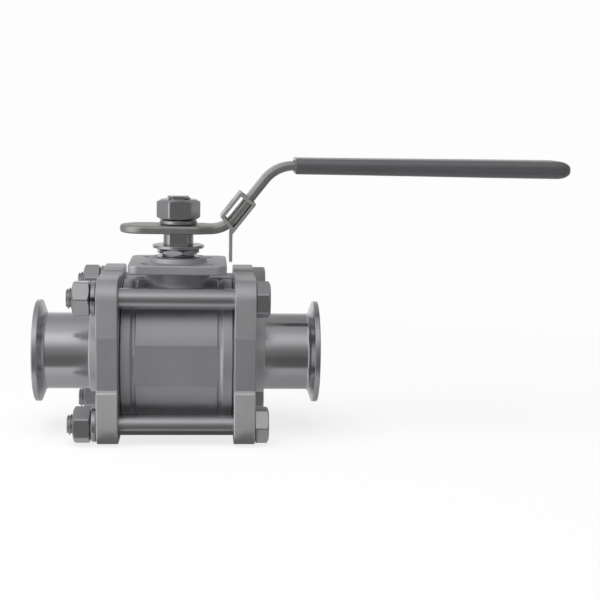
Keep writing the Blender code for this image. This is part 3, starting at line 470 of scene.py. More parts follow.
def blasted(name, colour, roughness, painted_light_colour, bright):
    """Cast steel, blasted with beads: even grain, small round dents and faint clouds, and painted light on a
    masked part.
    """
    finish = Finish(name)
    cloud = finish.noise(70)
    grain = finish.noise(2400, 2.0)
    dents = finish.cells(1300)
    waves = finish.noise(260, 2.0)
    shade = cloud * 0.45 + grain * 0.55
    # painted light: the part that the bright mask marks takes a lighter copy of the colour
    tints = [finish.shades(part, shade, 0.86, 1.14) for part in (colour, painted_light_colour)]
    finish.feed(finish.shader.inputs["Base Color"], finish.mixed(bright(finish), *tints))
    finish.roughness(cloud * 0.10 + grain * 0.10 + (roughness - 0.10))
    finish.bump(grain * 0.55 + dents * 0.45 + waves * 0.8, 0.000045)
    return finish.material


def turned_finish(name, colour, roughness, along, centres, dull_ends=0.0):
    """Lathe-turned or polished metal: fine lines round its axis, soft smears and, on tubes, duller ends."""
    finish = Finish(name)
    lines = finish.lathe_marks(centres, along, 5200)
    bands = finish.lathe_marks(centres, along, 900)
    smear = finish.noise(110)
    finish.colour(colour, lines * 0.65 + smear * 0.35, 0.90, 1.08)
    rough = lines * 0.07 + smear * 0.04 + (roughness - 0.055)
    if dull_ends:
        ferrule_back = (HALF_FACE - 0.0060, HALF_FACE - 0.0046)
        tube_root = (0.0425, 0.0530)
        reach = abs(finish.parts(finish.place)[0] - HEART.x)
        dull = finish.step(reach, *ferrule_back) + (1 - finish.step(reach, *tube_root))
        rough = rough + dull * dull_ends
    finish.roughness(rough)
    finish.bump(lines * 0.7 + bands * 0.3, 0.000002)
    return finish.material


def rolled_finish(name, colour, roughness):
    """Satin strip steel: faint lines along its length and shallow tumbling marks."""
    finish = Finish(name)
    lines = finish.noise(1, stretch=(260, 5200, 5200))
    tumble = finish.noise(420)
    cloud = finish.noise(60, 2.0)
    finish.colour(colour, lines * 0.35 + tumble * 0.35 + cloud * 0.3, 0.84, 1.14)
    finish.roughness(lines * 0.07 + tumble * 0.12 + (roughness - 0.09))
    finish.bump(lines * 0.5 + tumble * 0.5, 0.000014)
    return finish.material


def mirror_finish(name, colour):
    """Ball polished after turning, with hairline marks."""
    finish = Finish(name)
    lines = finish.lathe_marks(about_heart, 2, 4200)
    haze = finish.noise(90)
    finish.colour(colour, haze, 0.94, 1.04)
    finish.roughness(lines * 0.05 + haze * 0.05 + 0.03)
    finish.bump(lines, 0.0000015)
    return finish.material


def seal_finish(name, colour):
    """White sealing plastic, faintly mottled and machined."""
    finish = Finish(name, metallic=0.0)
    mottle = finish.noise(380)
    lines = finish.lathe_marks(about_heart, 0, 2600)
    finish.colour(colour, mottle, 0.93, 1.04)
    finish.roughness(mottle * 0.15 + 0.38)
    finish.bump(lines * 0.6 + mottle * 0.4, 0.00001)
    return finish.material


def sleeve_finish(name, colour):
    """Dipped vinyl: soft sheen, fine skin and slow flow marks along the bar."""
    finish = Finish(name, metallic=0.0)
    skin = finish.noise(1500, 2.0)
    flow = finish.noise(1, stretch=(28, 260, 260))
    dust = finish.noise(120)
    finish.colour(colour, flow * 0.5 + dust * 0.5, 0.80, 1.22)
    finish.roughness(skin * 0.10 + dust * 0.12 + 0.34)
    finish.bump(skin * 0.35 + flow * 1.2, 0.00006)
    for socket, value in (
        ("Coat Weight", 0.8), ("Coat Roughness", 0.38), ("Sheen Weight", 0.6), ("Sheen Roughness", 0.35),
        ("Specular IOR Level", 1.0),
    ):
        finish.shader.inputs[socket].default_value = value
    return finish.material


# Each finish: its maker, its colour, and what else the maker takes
FINISHES = {
    # the pad and the flanges' ears and hubs take painted light: a lighter colour where their masks say
    "casting_blasted": lambda name, tones: blasted(name, tones.casting, 0.54, tones.pad, pad_painted_light),
    "flange_blasted": lambda name, tones: blasted(name, tones.flange, 0.54, tones.ear_painted_light, ears_and_hub_painted_light),
    "tube_polished": lambda name, tones: turned_finish(name, tones.tube, 0.15, 0, about_heart, 0.14),
    "bolt_bright": lambda name, tones: turned_finish(name, tones.fastener, 0.30, 0, about_bolts),
    "nut_bright": lambda name, tones: turned_finish(name, tones.fastener, 0.30, 2, about_heart),
    "stem_ground": lambda name, tones: turned_finish(name, tones.shank, 0.18, 2, about_heart),
    "lever_satin": lambda name, tones: rolled_finish(name, tones.lever, 0.43),
    "latch_satin": lambda name, tones: rolled_finish(name, tones.latch, 0.50),
    "ball_mirror": lambda name, tones: mirror_finish(name, tones.mirror),
    "seal_white": lambda name, tones: seal_finish(name, tones.seal),
    "sleeve_vinyl": lambda name, tones: sleeve_finish(name, tones.sleeve),
}


def finish_named(name):
    """Give one of the valve's finishes, and make it at its first use."""
    return bpy.data.materials.get(name) or FINISHES[name](name, bpy.context.scene.valve_finishes)


def painted(mesh, finish):
    """Give a mesh one finish in place of what it has."""
    mesh.materials.clear()
    mesh.materials.append(finish_named(finish))


def between(first, last, share):
    return first + (last - first) * share


def eased(share):
    """Bend a share so that it starts and ends slowly."""
    return share * share * (3 - 2 * share)


def shape_from(*meshes):
    shape = bmesh.new()
    for mesh in meshes:
        shape.from_mesh(mesh)
    return shape


def mesh_from(shape, weld=True):
    """Turn a bmesh into a mesh, as a rule welded and facing out."""
    if weld:
        bmesh.ops.remove_doubles(shape, verts=shape.verts, dist=MERGE)
        bmesh.ops.recalc_face_normals(shape, faces=shape.faces)
    mesh = bpy.data.meshes.new("shape")
    shape.to_mesh(mesh)
    shape.free()
    return mesh


def turned(profile, steps):
    """Spin a closed outline of (radius, height) points round Z."""
    shape = bmesh.new()
    points = [shape.verts.new((radius, 0, height)) for radius, height in profile]
    edges = []
    for start, end in zip(points, points[1:] + points[:1]):
        if start.co.x > 0 or end.co.x > 0:
            edges.append(shape.edges.new((start, end)))
    bmesh.ops.spin(
        shape, geom=points + edges, cent=(0, 0, 0), axis=(0, 0, 1), angle=FULL_TURN, steps=steps,
        use_merge=True,
    )
    return mesh_from(shape)


def filleted(corners, steps=6):
    """Round a closed outline of (x, y, fillet radius) corners, with this many steps in a quarter turn."""
    outline = []
    for index, (x, y, radius) in enumerate(corners):
        corner = Vector((x, y))
        if not radius:
            outline.append(tuple(corner))
            continue
        back = (Vector(corners[index - 1][:2]) - corner).normalized()
        ahead = (Vector(corners[(index + 1) % len(corners)][:2]) - corner).normalized()
        half = back.angle(ahead) / 2
        centre = corner + (back + ahead).normalized() * radius / math.sin(half)
        start = corner + back * radius / math.tan(half) - centre
        sweep = start.angle_signed(corner + ahead * radius / math.tan(half) - centre)
        count = max(2, round(abs(sweep) / (math.pi / 2) * steps))
        for step in range(count + 1):
            outline.append(tuple(centre + Matrix.Rotation(-sweep * step / count, 2) @ start))
    return outline


def rounded_box(half_width, half_height, corner, steps):
    """Outline a rectangle about its middle, with round corners."""
    return filleted([(x * half_width, y * half_height, corner) for x, y in SQUARE], steps)


def prism(outline, low, high, edge=0.0):
    """Raise a flat outline from low to high, with its rims rounded by edge."""
    shape = bmesh.new()
    base = shape.faces.new([shape.verts.new((x, y, low)) for x, y in outline])
    raised = bmesh.ops.extrude_face_region(shape, geom=[base])
    top = [item for item in raised["geom"] if isinstance(item, bmesh.types.BMVert)]
    bmesh.ops.translate(shape, verts=top, vec=(0, 0, high - low))
    if edge:
        rims = [line for line in shape.edges if abs(line.verts[0].co.z - line.verts[1].co.z) < MERGE]
        bmesh.ops.bevel(shape, geom=rims, offset=edge, segments=4, profile=0.5, affect="EDGES")
    return mesh_from(shape)


def box(low, high):
    outline = [(low[0], low[1]), (high[0], low[1]), (high[0], high[1]), (low[0], high[1])]
    return prism(outline, low[2], high[2])


def cylinder(radius, low, high, steps):
    return turned([(0, low), (radius, low), (radius, high), (0, high)], steps)


def drilled(radius, low, high, flare):
    """Make a cutter for a hole whose two rims are eased by flare."""
    wide = radius + flare
    rows = [(0, low - flare), (wide + flare, low - flare), (radius, low + flare)]
    rows += [(radius, high - flare), (wide + flare, high + flare), (0, high + flare)]
    return turned(rows, 48)


def polar_rings(rows, columns, shift=0.0):
    """Lay rings of points round Z, from rows of (radius, height) or of functions that give it at an angle."""
    rings = []
    for row in rows:
        ring = []
        for column in range(columns):
            angle = FULL_TURN * (column + shift) / columns
            radius, height = row(angle) if callable(row) else row
            ring.append((radius * math.cos(angle), radius * math.sin(angle), height))
        rings.append(ring)
    return rings


def lofted(rings, caps=True):
    """Skin a row of matching closed rings of points and, if asked, cap both ends."""
    shape = bmesh.new()
    made = [[shape.verts.new(point) for point in ring] for ring in rings]
    for ring, following in zip(made, made[1:]):
        for index, point in enumerate(ring):
            before = index - 1
            shape.faces.new((ring[before], point, following[index], following[before]))
    if caps:
        shape.faces.new(made[0])
        shape.faces.new(made[-1])
    return mesh_from(shape)


def moved(mesh, matrix):
    mesh.transform(matrix)
    return mesh


def raised_by(mesh, height):
    return moved(mesh, Matrix.Translation((0, 0, height)))


def along_pipe(mesh):
    """Lay a shape made along Z along the pipe."""
    return moved(mesh, Matrix.Rotation(math.pi / 2, 4, "Y"))


def evaluated(item):
    """Turn an object with its modifiers into a plain mesh, and remove the object."""
    depsgraph = bpy.context.evaluated_depsgraph_get()
    mesh = bpy.data.meshes.new_from_object(item.evaluated_get(depsgraph))
    bpy.data.objects.remove(item, do_unlink=True)
    return mesh


def holder(name, data):
    item = bpy.data.objects.new(name, data)
    bpy.context.scene.collection.objects.link(item)
    return item


def combined(base, tool, operation):
    """Combine two meshes by an exact Boolean."""
    item = holder("base", base)
    cutter = holder("tool", tool)
    step = item.modifiers.new("combine", "BOOLEAN")
    step.solver = "EXACT"
    step.operation = operation
    step.object = cutter
    mesh = evaluated(item)
    bpy.data.objects.remove(cutter, do_unlink=True)
    return mesh_from(shape_from(mesh))


def joined(base, *tools):
    for tool in tools:
        base = combined(base, tool, "UNION")
    return base


def cut(base, *tools):
    for tool in tools:
        base = combined(base, tool, "DIFFERENCE")
    return base


def with_four_holes(body, hole, offset):
    """Cut the same hole along Z at the four corners of a square."""
    for x in (-offset, offset):
        for y in (-offset, offset):
            body = cut(body, moved(hole.copy(), Matrix.Translation((x, y, 0))))
    return body


def with_flats(body, half_length, distance, reach, low, high, turn=0.0):
    """Cut flats on front and back, at a distance from the middle and turned about the pipe."""
    for side in (-1, 1):
        near, far = sorted((side * distance, side * reach))
        slab = box((-half_length, near, low), (half_length, far, high))
        body = cut(body, moved(slab, Matrix.Rotation(turn, 4, "X")))
    return body


def eased_copy(node, width):
    """Copy a frame node's mesh, clear its facets' inner lines and round its crisp edges."""
    weld, flat_angle, crisp_angle = 1e-6, math.radians(1), math.radians(40)
    shape = shape_from(frame["nodes"][node].data)
    bmesh.ops.remove_doubles(shape, verts=shape.verts, dist=weld)
    bmesh.ops.dissolve_limit(
        shape, angle_limit=flat_angle, use_dissolve_boundaries=False, verts=shape.verts, edges=shape.edges
    )
    item = holder("eased", mesh_from(shape))
    edge = item.modifiers.new("edge", "BEVEL")
    edge.width = width
    edge.segments = 3
    edge.limit_method = "ANGLE"
    edge.angle_limit = crisp_angle
    edge.use_clamp_overlap = True
    return evaluated(item)


def add_piece(name, mesh, finish, body, slot, nodes, smooth=SMOOTH_ANGLE, at_heart=True):
    """Place a mesh in the frame as a finished piece of the valve, in place of its CAD nodes."""
    if at_heart:
        mesh.transform(Matrix.Translation(HEART))
    mesh.shade_smooth()
    mesh.set_sharp_from_angle(angle=smooth)
    item = holder(name, mesh)
    item.modifiers.new("normals", "WEIGHTED_NORMAL").keep_sharp = True
    item = holder(name, evaluated(item))
    item.name = name
    item.data.name = name
    painted(item.data, finish)
    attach(item, body)
    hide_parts(*nodes)


def add_eased(name, node, width, finish, body, slot):
    """Add a copy of a CAD node with rounded edges as a piece, in its own place."""
    add_piece(name, eased_copy(node, width), finish, body, slot, [node], at_heart=False)


class ShapeGraph(Graph):
    """A geometry node tree whose named inputs have a default number or else a type of socket."""

    KINDS = {float: "NodeSocketFloat", int: "NodeSocketInt"}

    def __init__(self, name, inputs):
        tree = bpy.data.node_groups.new(name, "GeometryNodeTree")
        super().__init__(tree)
        self.sockets = {}
        for label, value in inputs.items():
            kind = self.KINDS.get(type(value), value)
            socket = tree.interface.new_socket(label, in_out="INPUT", socket_type=kind)
            if kind != value:
                socket.default_value = value
            self.sockets[label] = socket.identifier
        tree.interface.new_socket("Geometry", in_out="OUTPUT", socket_type="NodeSocketGeometry")
        self.entry = tree.nodes.new("NodeGroupInput")

    def given(self, label):
        return Value(self, self.entry.outputs[label])

    def position(self):
        return self.parts(self.node("GeometryNodeInputPosition").outputs[0])

    def placed(self, geometry, *place):
        inputs = {0: geometry, "Position": self.joined(*place)}
        return self.node("GeometryNodeSetPosition", inputs=inputs).outputs[0]

    def finish_with(self, geometry, finish):
        """End the tree: real geometry with its material."""
        real = self.node("GeometryNodeRealizeInstances", inputs={0: geometry})
        coated = self.node("GeometryNodeSetMaterial", inputs={0: real.outputs[0], "Material": finish})
        exit_node = self.tree.nodes.new("NodeGroupOutput")
        self.tree.links.new(coated.outputs[0], exit_node.inputs[0])

    def run(self, values, base=None):
        """Evaluate the tree on a base mesh, or on an empty one, and give its mesh."""
        item = holder("grown", base or bpy.data.meshes.new("grown"))
        modifier = item.modifiers.new("shape", "NODES")
        modifier.node_group = self.tree
        for label, value in values.items():
            modifier[self.sockets[label]] = value
        return evaluated(item)


def threaded_end(finish, radius, pitch, depth, reach, bevel, flat):
    """Grow a threaded rod along Z from height 0 up to reach, with a bevelled end and a pair of flats."""
    rows_in_a_turn = 10
    graph = ShapeGraph("threaded_end", {
        "Radius": radius, "Pitch": pitch, "Depth": depth, "Reach": reach, "Bevel": bevel, "Flat": flat,
        "Columns": 64, "Rows": rows_in_a_turn, "Crest Low": 0.12, "Crest High": 0.88,
    })
    given = graph.given
    rod = graph.node("GeometryNodeMeshCylinder", {"fill_type": "NGON"}, {
        "Vertices": given("Columns"),
        "Side Segments": given("Rows"),
        "Radius": given("Radius"),
        "Depth": given("Reach"),
    })
    x, y, z = graph.position()
    height = z + given("Reach") / 2
    turns = height / given("Pitch") + graph.math("ARCTAN2", y, x) / FULL_TURN
    wave = abs(graph.math("FRACT", turns) * 2 - 1)
    crest = graph.step(wave, given("Crest Low"), given("Crest High"))
    threaded = given("Radius") - given("Depth") * (1 - crest)
    bevelled = given("Radius") - given("Bevel") + (given("Reach") - height)
    share = graph.math("MINIMUM", threaded, bevelled) / given("Radius")
    front = graph.math("MINIMUM", y * share, given("Flat"))
    flat_y = graph.math("MAXIMUM", front, given("Flat") * -1)
    graph.finish_with(graph.placed(rod.outputs[0], x * share, flat_y, height), finish)
    return graph.run({"Rows": round(reach / pitch * rows_in_a_turn)})


def at_the_bolts(mesh, turns, finish):
    """Repeat a mesh along the pipe at the four bolts, each turned its own way."""
    source = holder("source", mesh)
    places = bpy.data.meshes.new("places")
    places.from_pydata([(0, y / 2, z / 2) for z in (-1, 1) for y in (-1, 1)], [], [])
    places.attributes.new("turn", "FLOAT", "POINT").data.foreach_set("value", turns)
    graph = ShapeGraph("at_the_bolts", {
        "Places": "NodeSocketGeometry",
        "Piece": "NodeSocketObject",
        "Spacing": BOLT_OFFSET * 2,
    })
    spread = graph.node("GeometryNodeTransform", inputs={
        "Geometry": graph.given("Places"),
        "Scale": graph.joined(*[graph.given("Spacing")] * 3),
    })
    turn = Value(graph, graph.node("GeometryNodeInputNamedAttribute", inputs={"Name": "turn"}).outputs[0])
    piece = graph.node("GeometryNodeObjectInfo", inputs={0: graph.given("Piece")})
    copies = graph.node("GeometryNodeInstanceOnPoints", inputs={
        "Points": spread.outputs[0],
        "Instance": piece.outputs["Geometry"],
        "Rotation": graph.joined(turn, 0.0, 0.0),
    })
    graph.finish_with(copies.outputs[0], finish)
    result = graph.run({"Piece": source}, places)
    bpy.data.objects.remove(source, do_unlink=True)
    return result


def split_ring(inner, outer, thickness, finish):
    """Sweep a split spring washer about Z, its bottom at height 0."""
    graph = ShapeGraph("split_ring", {
        "Middle Radius": (inner + outer) / 2,
        "Width": outer - inner,
        "Thickness": thickness,
        "Opening": math.radians(12),
        "End Step": 0.00018,
        "Edge": 0.00028,
    })
    given = graph.given
    path = graph.node("GeometryNodeCurveArc", {"mode": "RADIUS"}, {
        "Resolution": 72,
        "Radius": given("Middle Radius"),
        "Start Angle": given("Opening") / 2,
        "Sweep Angle": FULL_TURN - given("Opening"),
    })
    section = graph.node("GeometryNodeCurvePrimitiveQuadrilateral", inputs={
        "Width": given("Width"),
        "Height": given("Thickness") - given("End Step"),
    })
    rounded = graph.node("GeometryNodeFilletCurve", {"mode": "POLY"}, {
        "Curve": section.outputs[0],
        "Radius": given("Edge"),
        "Count": 3,
    })
    swept = graph.node("GeometryNodeCurveToMesh", inputs={
        "Curve": path.outputs[0],
        "Profile Curve": rounded.outputs[0],
        "Fill Caps": True,
    })
    x, y, z = graph.position()
    around = graph.math("FRACT", graph.math("ARCTAN2", y, x) / FULL_TURN + 1)
    lifted = z + given("Thickness") / 2 + (around - 0.5) * given("End Step")
    graph.finish_with(graph.placed(swept.outputs[0], x, y, lifted), finish)
    return graph.run({})


def hex_solid(across, low, high, bore=0.0, turn=0.0, low_bevel=True):
    """Make a hex head or nut about Z: bevelled above and as a rule below, its bore's rims eased."""
    face_share, corner_share, bevel_angle, rim_flare = 0.91, 0.985, math.radians(30), 0.0005
    face = across / 2 * face_share
    corner_cut = across / math.sqrt(3) * corner_share
    corner_drop = math.tan(bevel_angle)
    flare = rim_flare if bore else 0.0

    def rim(height, drop):
        def place(angle):
            local = (angle + math.pi / 6) % (math.pi / 3) - math.pi / 6
            to_flat = local + math.pi / 6 * (1 if local < 0 else -1)
            reach = min(across / 2 / math.cos(to_flat), corner_cut)
            return reach, height + (reach - face) * drop

        return place

    rows = [
        (bore, low + flare),
        (bore + flare, low),
        (face, low),
        rim(low, corner_drop if low_bevel else 0.0),
        rim(high, -corner_drop),
        (face, high),
        (bore + flare, high),
        (bore, high - flare),
    ]
    rings = polar_rings(rows + rows[:1] if bore else rows, 144)
    return moved(lofted(rings, caps=False), Matrix.Rotation(turn, 4, "Z"))


def neck_solid(sizes, facets):
    """Make the neck with its fillet onto the barrel: every column ends tangent to the barrel's round top."""
    radius = sizes.neck_radius
    fillet = sizes.neck_fillet
    sunk = 0.00006
    curve_steps = 8

    def barrel_height(reach, angle):
        return math.sqrt(BODY_RADIUS**2 - (reach * math.sin(angle)) ** 2)

    def on_curve(share):
        def place(angle):
            outer = Vector((radius + fillet, barrel_height(radius + fillet, angle) - sunk))
            corner = Vector((radius, barrel_height(radius, angle)))
            upper = Vector((radius, barrel_height(radius, angle) + fillet))
            point = outer * (1 - share) ** 2 + corner * 2 * share * (1 - share) + upper * share**2
            return point.x, point.y

        return place

    rows = [(radius + fillet, (sizes.cavity_radius + BODY_RADIUS) / 2 - sizes.neck_foot)]
    rows += [on_curve(step / curve_steps) for step in range(curve_steps + 1)]
    rows.append((radius, sizes.pad_top - sizes.pad_thickness + sizes.pad_edge))
    return lofted(polar_rings(rows, facets, 0.5))


def casting(sizes, facets):
    """Make the middle piece: barrel with rings, grooves and flats, filleted neck, pad and boss."""
    crisp, soft, boss_edge, mouth = 0.0003, 0.0004, 0.0005, 0.0004
    groove = BODY_HALF - sizes.ring_width
    inner = groove - sizes.groove_width
    root = BODY_RADIUS - sizes.groove_depth
    half = [
        (sizes.cavity_radius, BODY_HALF, crisp),
        (sizes.seal_inner, BODY_HALF, 0),
        (sizes.seal_inner, BODY_HALF - sizes.seal_depth, 0),
        (sizes.seal_outer, BODY_HALF - sizes.seal_depth, 0),
        (sizes.seal_outer, BODY_HALF, 0),
        (BODY_RADIUS, BODY_HALF, sizes.rim_edge),
        (BODY_RADIUS, groove + sizes.groove_slope, soft),
        (root, groove, crisp),
        (root, inner, crisp),
        (BODY_RADIUS, inner - sizes.groove_depth / 2, soft),
    ]
    outline = half + [(radius, -height, edge) for radius, height, edge in half[::-1]]
    body = along_pipe(turned(filleted(outline, 4), facets))
    pad_bottom = sizes.pad_top - sizes.pad_thickness
    square = rounded_box(sizes.pad_half, sizes.pad_half, sizes.pad_corner, 12)
    pad = prism(square, pad_bottom, sizes.pad_top, sizes.pad_edge)
    boss_foot = pad_bottom + sizes.pad_edge * 2
    boss = filleted([
        (0, boss_foot, 0),
        (sizes.boss_radius, boss_foot, 0),
        (sizes.boss_radius, BOSS_TOP, boss_edge),
        (0, BOSS_TOP, 0),
    ])
    body = joined(body, neck_solid(sizes, facets), pad, turned(boss, facets))

    flat_depth = math.sqrt(BODY_RADIUS**2 - sizes.flat_half**2)
    slab = BODY_RADIUS / 2
    body = with_flats(body, groove, flat_depth, BODY_RADIUS * 2, -slab, slab, sizes.flat_turn)
    bore = [
        (0, 0),
        (sizes.pocket_radius, 0),
        (sizes.pocket_radius, sizes.pocket_top),
        (sizes.shank_bore, sizes.pocket_top),
        (sizes.shank_bore, sizes.chamber_floor),
        (sizes.chamber_radius, sizes.chamber_floor),
        (sizes.chamber_radius, BOSS_TOP - mouth),
        (sizes.chamber_radius + mouth * 3, BOSS_TOP + mouth * 2),
        (0, BOSS_TOP + mouth * 2),
    ]
    body = cut(body, turned(bore, facets // 2))
    hole = drilled(sizes.hole_radius, pad_bottom, sizes.pad_top, crisp)
    return with_four_holes(body, hole, sizes.hole_offset)


def flange_outline(sizes):
    """Outline a square flange with four ears and a set-back waist on each side."""
    waist = FLANGE_HALF - sizes.waist_depth
    slope_end = sizes.waist_half + sizes.waist_step
    quarter = [
        (waist, sizes.waist_half, sizes.waist_fillet),
        (FLANGE_HALF, slope_end, sizes.waist_fillet),
        (FLANGE_HALF, FLANGE_HALF, sizes.ear_radius),
        (slope_end, FLANGE_HALF, sizes.waist_fillet),
        (sizes.waist_half, waist, sizes.waist_fillet),
    ]
    corners = []
    for turn in range(4):
        spin = Matrix.Rotation(turn * math.pi / 2, 2)
        for x, y, radius in quarter:
            corners.append((*(spin @ Vector((x, y))), radius))
    return filleted(corners, 12)


def flange(sizes, bolt_hole, facets):
    """Make the right flange with its raised face and hub, along the pipe."""
    bore_edge, spigot_edge, hole_flare, overlap, sunk = 0.0002, 0.0003, 0.0004, 0.001, 0.00002
    hub_end = sizes.flange_outer + sizes.hub_length
    hub_foot = sizes.hub_radius + sizes.hub_fillet * 2
    spigot = BODY_HALF + GAP
    rows = [
        (sizes.bore_radius, spigot, bore_edge),
        (sizes.spigot_radius, spigot, spigot_edge),
        (sizes.spigot_radius, sizes.flange_inner + overlap, 0),
        (hub_foot, sizes.flange_inner + overlap, 0),
        (hub_foot, sizes.flange_outer - sunk, 0),
        (sizes.hub_radius, sizes.flange_outer - sunk, sizes.hub_fillet),
        (sizes.hub_radius, hub_end, sizes.hub_edge),
        (sizes.bore_radius, hub_end, 0),
    ]
    plate = prism(flange_outline(sizes), sizes.flange_inner, sizes.flange_outer, sizes.flange_edge)
    plate = cut(plate, cylinder(sizes.hub_radius - overlap, 0, HALF_FACE, facets))
    body = joined(plate, turned(filleted(rows), facets))
    hole = drilled(bolt_hole, sizes.flange_inner, sizes.flange_outer, hole_flare)
    return along_pipe(with_four_holes(body, hole, BOLT_OFFSET))


def ferrule_tube(sizes, facets):
    """Turn the right tube and its clamp ferrule with the gasket groove, along the pipe."""
    bore_edge = 0.00025
    groove_steps = 12
    hub_end = sizes.flange_outer + sizes.hub_length
    rim_back = HALF_FACE - sizes.ferrule_rim
    taper = (sizes.ferrule_radius - sizes.tube_radius) * math.tan(sizes.ferrule_back)
    rows = [
        (sizes.bore_radius, hub_end, 0),
        (sizes.tube_radius, hub_end, 0),
        (sizes.tube_radius, rim_back - taper, sizes.ferrule_fillet),
        (sizes.ferrule_radius, rim_back, sizes.ferrule_edge),
        (sizes.ferrule_radius, HALF_FACE, sizes.ferrule_edge),
    ]
    for step in range(groove_steps + 1):
        angle = math.pi * step / groove_steps
        aside = sizes.groove_width / 2 * math.cos(angle)
        deep = sizes.groove_width / 2 * math.sin(angle)
        rows.append((sizes.groove_radius + aside, HALF_FACE - deep, 0))
    rows.append((sizes.bore_radius, HALF_FACE, bore_edge))
    return along_pipe(turned(filleted(rows), facets))


class VALVE_OT_casting(bpy.types.Operator):
    """Make the cast middle piece with its pad"""

    bl_idname = "valve.casting"
    bl_label = "Middle piece"

    def execute(self, context):
        mesh = casting(context.scene.valve_body, context.scene.valve_studio.facets)
        add_piece(
            "middle_casting", mesh, "casting_blasted", "valve_body", "cast_steel", ["centre_body"],
            smooth=CAST_SMOOTH_ANGLE,
        )
        return {"FINISHED"}


class VALVE_OT_ends(bpy.types.Operator):
    """Make the flanges, tubes and clamp ferrules of both ends"""

    bl_idname = "valve.ends"
    bl_label = "End caps"

    def execute(self, context):
        sizes = context.scene.valve_ends
        facets = context.scene.valve_studio.facets
        plate = flange(sizes, context.scene.valve_bolts.radius + GAP, facets)
        tube = ferrule_tube(sizes, facets)
        shapes = (("flange", plate, "flange_blasted"), ("ferrule_tube", tube, "tube_polished"))
        for side, turn in (("left", math.pi), ("right", 0)):
            nodes = [f"{side}_end_cap"]
            for name, mesh, finish in shapes:
                piece = moved(mesh.copy(), Matrix.Rotation(turn, 4, "Z"))
                add_piece(f"{side}_{name}", piece, finish, "valve_body", "end_steel", nodes, END_SMOOTH_ANGLE)
        return {"FINISHED"}


class VALVE_OT_bolts(bpy.types.Operator):
    """Make the four body bolts with their threads, washers and nuts"""

    bl_idname = "valve.bolts"
    bl_label = "Body bolts"

    def execute(self, context):
        sizes = context.scene.valve_bolts
        finish = finish_named("bolt_bright")
        overlap = 0.0002
        seat = context.scene.valve_ends.flange_outer + GAP
        washer_low = -seat - sizes.washer_thickness
        nut_high = washer_low - GAP
        nut_low = nut_high - sizes.nut_height
        thread_start = nut_low - sizes.end_beyond + sizes.thread_length
        head = hex_solid(sizes.across, seat, seat + sizes.head_height, low_bevel=False)
        inside_head = seat + sizes.head_height / 2
        shank = turned(filleted([
            (0, thread_start - overlap, 0),
            (sizes.radius, thread_start - overlap, overlap),
            (sizes.radius, seat, 0),
            (sizes.radius, inside_head, 0),
            (0, inside_head, 0),
        ]), 64)
        no_flats = sizes.radius * 2
        thread = threaded_end(
            finish, sizes.radius, sizes.pitch, sizes.depth, sizes.thread_length, sizes.end_bevel, no_flats
        )
        thread = raised_by(moved(thread, Matrix.Rotation(math.pi, 4, "X")), thread_start)
        bolt = joined(mesh_from(shape_from(shank, thread), weld=False), head)
        nut = hex_solid(sizes.across, nut_low, nut_high, sizes.radius + GAP)
        washer = split_ring(sizes.radius + GAP, sizes.washer_radius, sizes.washer_thickness, finish)
        for name, mesh, turns, node in (
            ("body_bolts", bolt, sizes.head_turns, "body_bolt"),
            ("body_nuts", nut, sizes.nut_turns, "body_nut"),
            ("split_washers", raised_by(washer, washer_low), sizes.washer_turns, "bolt_lock_washer"),
        ):
            four = at_the_bolts(along_pipe(mesh), turns, finish)
            nodes = [f"{node}_{number}" for number in range(1, 5)]
            add_piece(name, four, "bolt_bright", "valve_body", "bolt_steel", nodes)
        return {"FINISHED"}


class VALVE_OT_ball(bpy.types.Operator):
    """Make the polished ball with its bore and slot"""

    bl_idname = "valve.ball"
    bl_label = "Ball"

    def execute(self, context):
        sizes = context.scene.valve_stem
        bore_radius = context.scene.valve_ends.bore_radius
        low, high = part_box("ball")
        radius = (high.y - low.y) / 2
        beyond = radius * 2
        ease = 0.0004
        wide = bore_radius + ease
        mouth = math.sqrt(radius**2 - wide**2)
        shape = bmesh.new()
        bmesh.ops.create_uvsphere(shape, u_segments=96, v_segments=64, radius=radius)
        rows = [(0, -beyond), (wide, -beyond), (wide, -mouth), (bore_radius, ease - mouth)]
        rows += [(across, -height) for across, height in rows[::-1]]
        slot = box((-sizes.slot_half, -beyond, sizes.slot_floor), (sizes.slot_half, beyond, beyond))
        ball = cut(mesh_from(shape), along_pipe(turned(rows, 96)), slot)
        add_piece("polished_ball", ball, "ball_mirror", "valve_ball", "ball_steel", ["ball"])
        return {"FINISHED"}


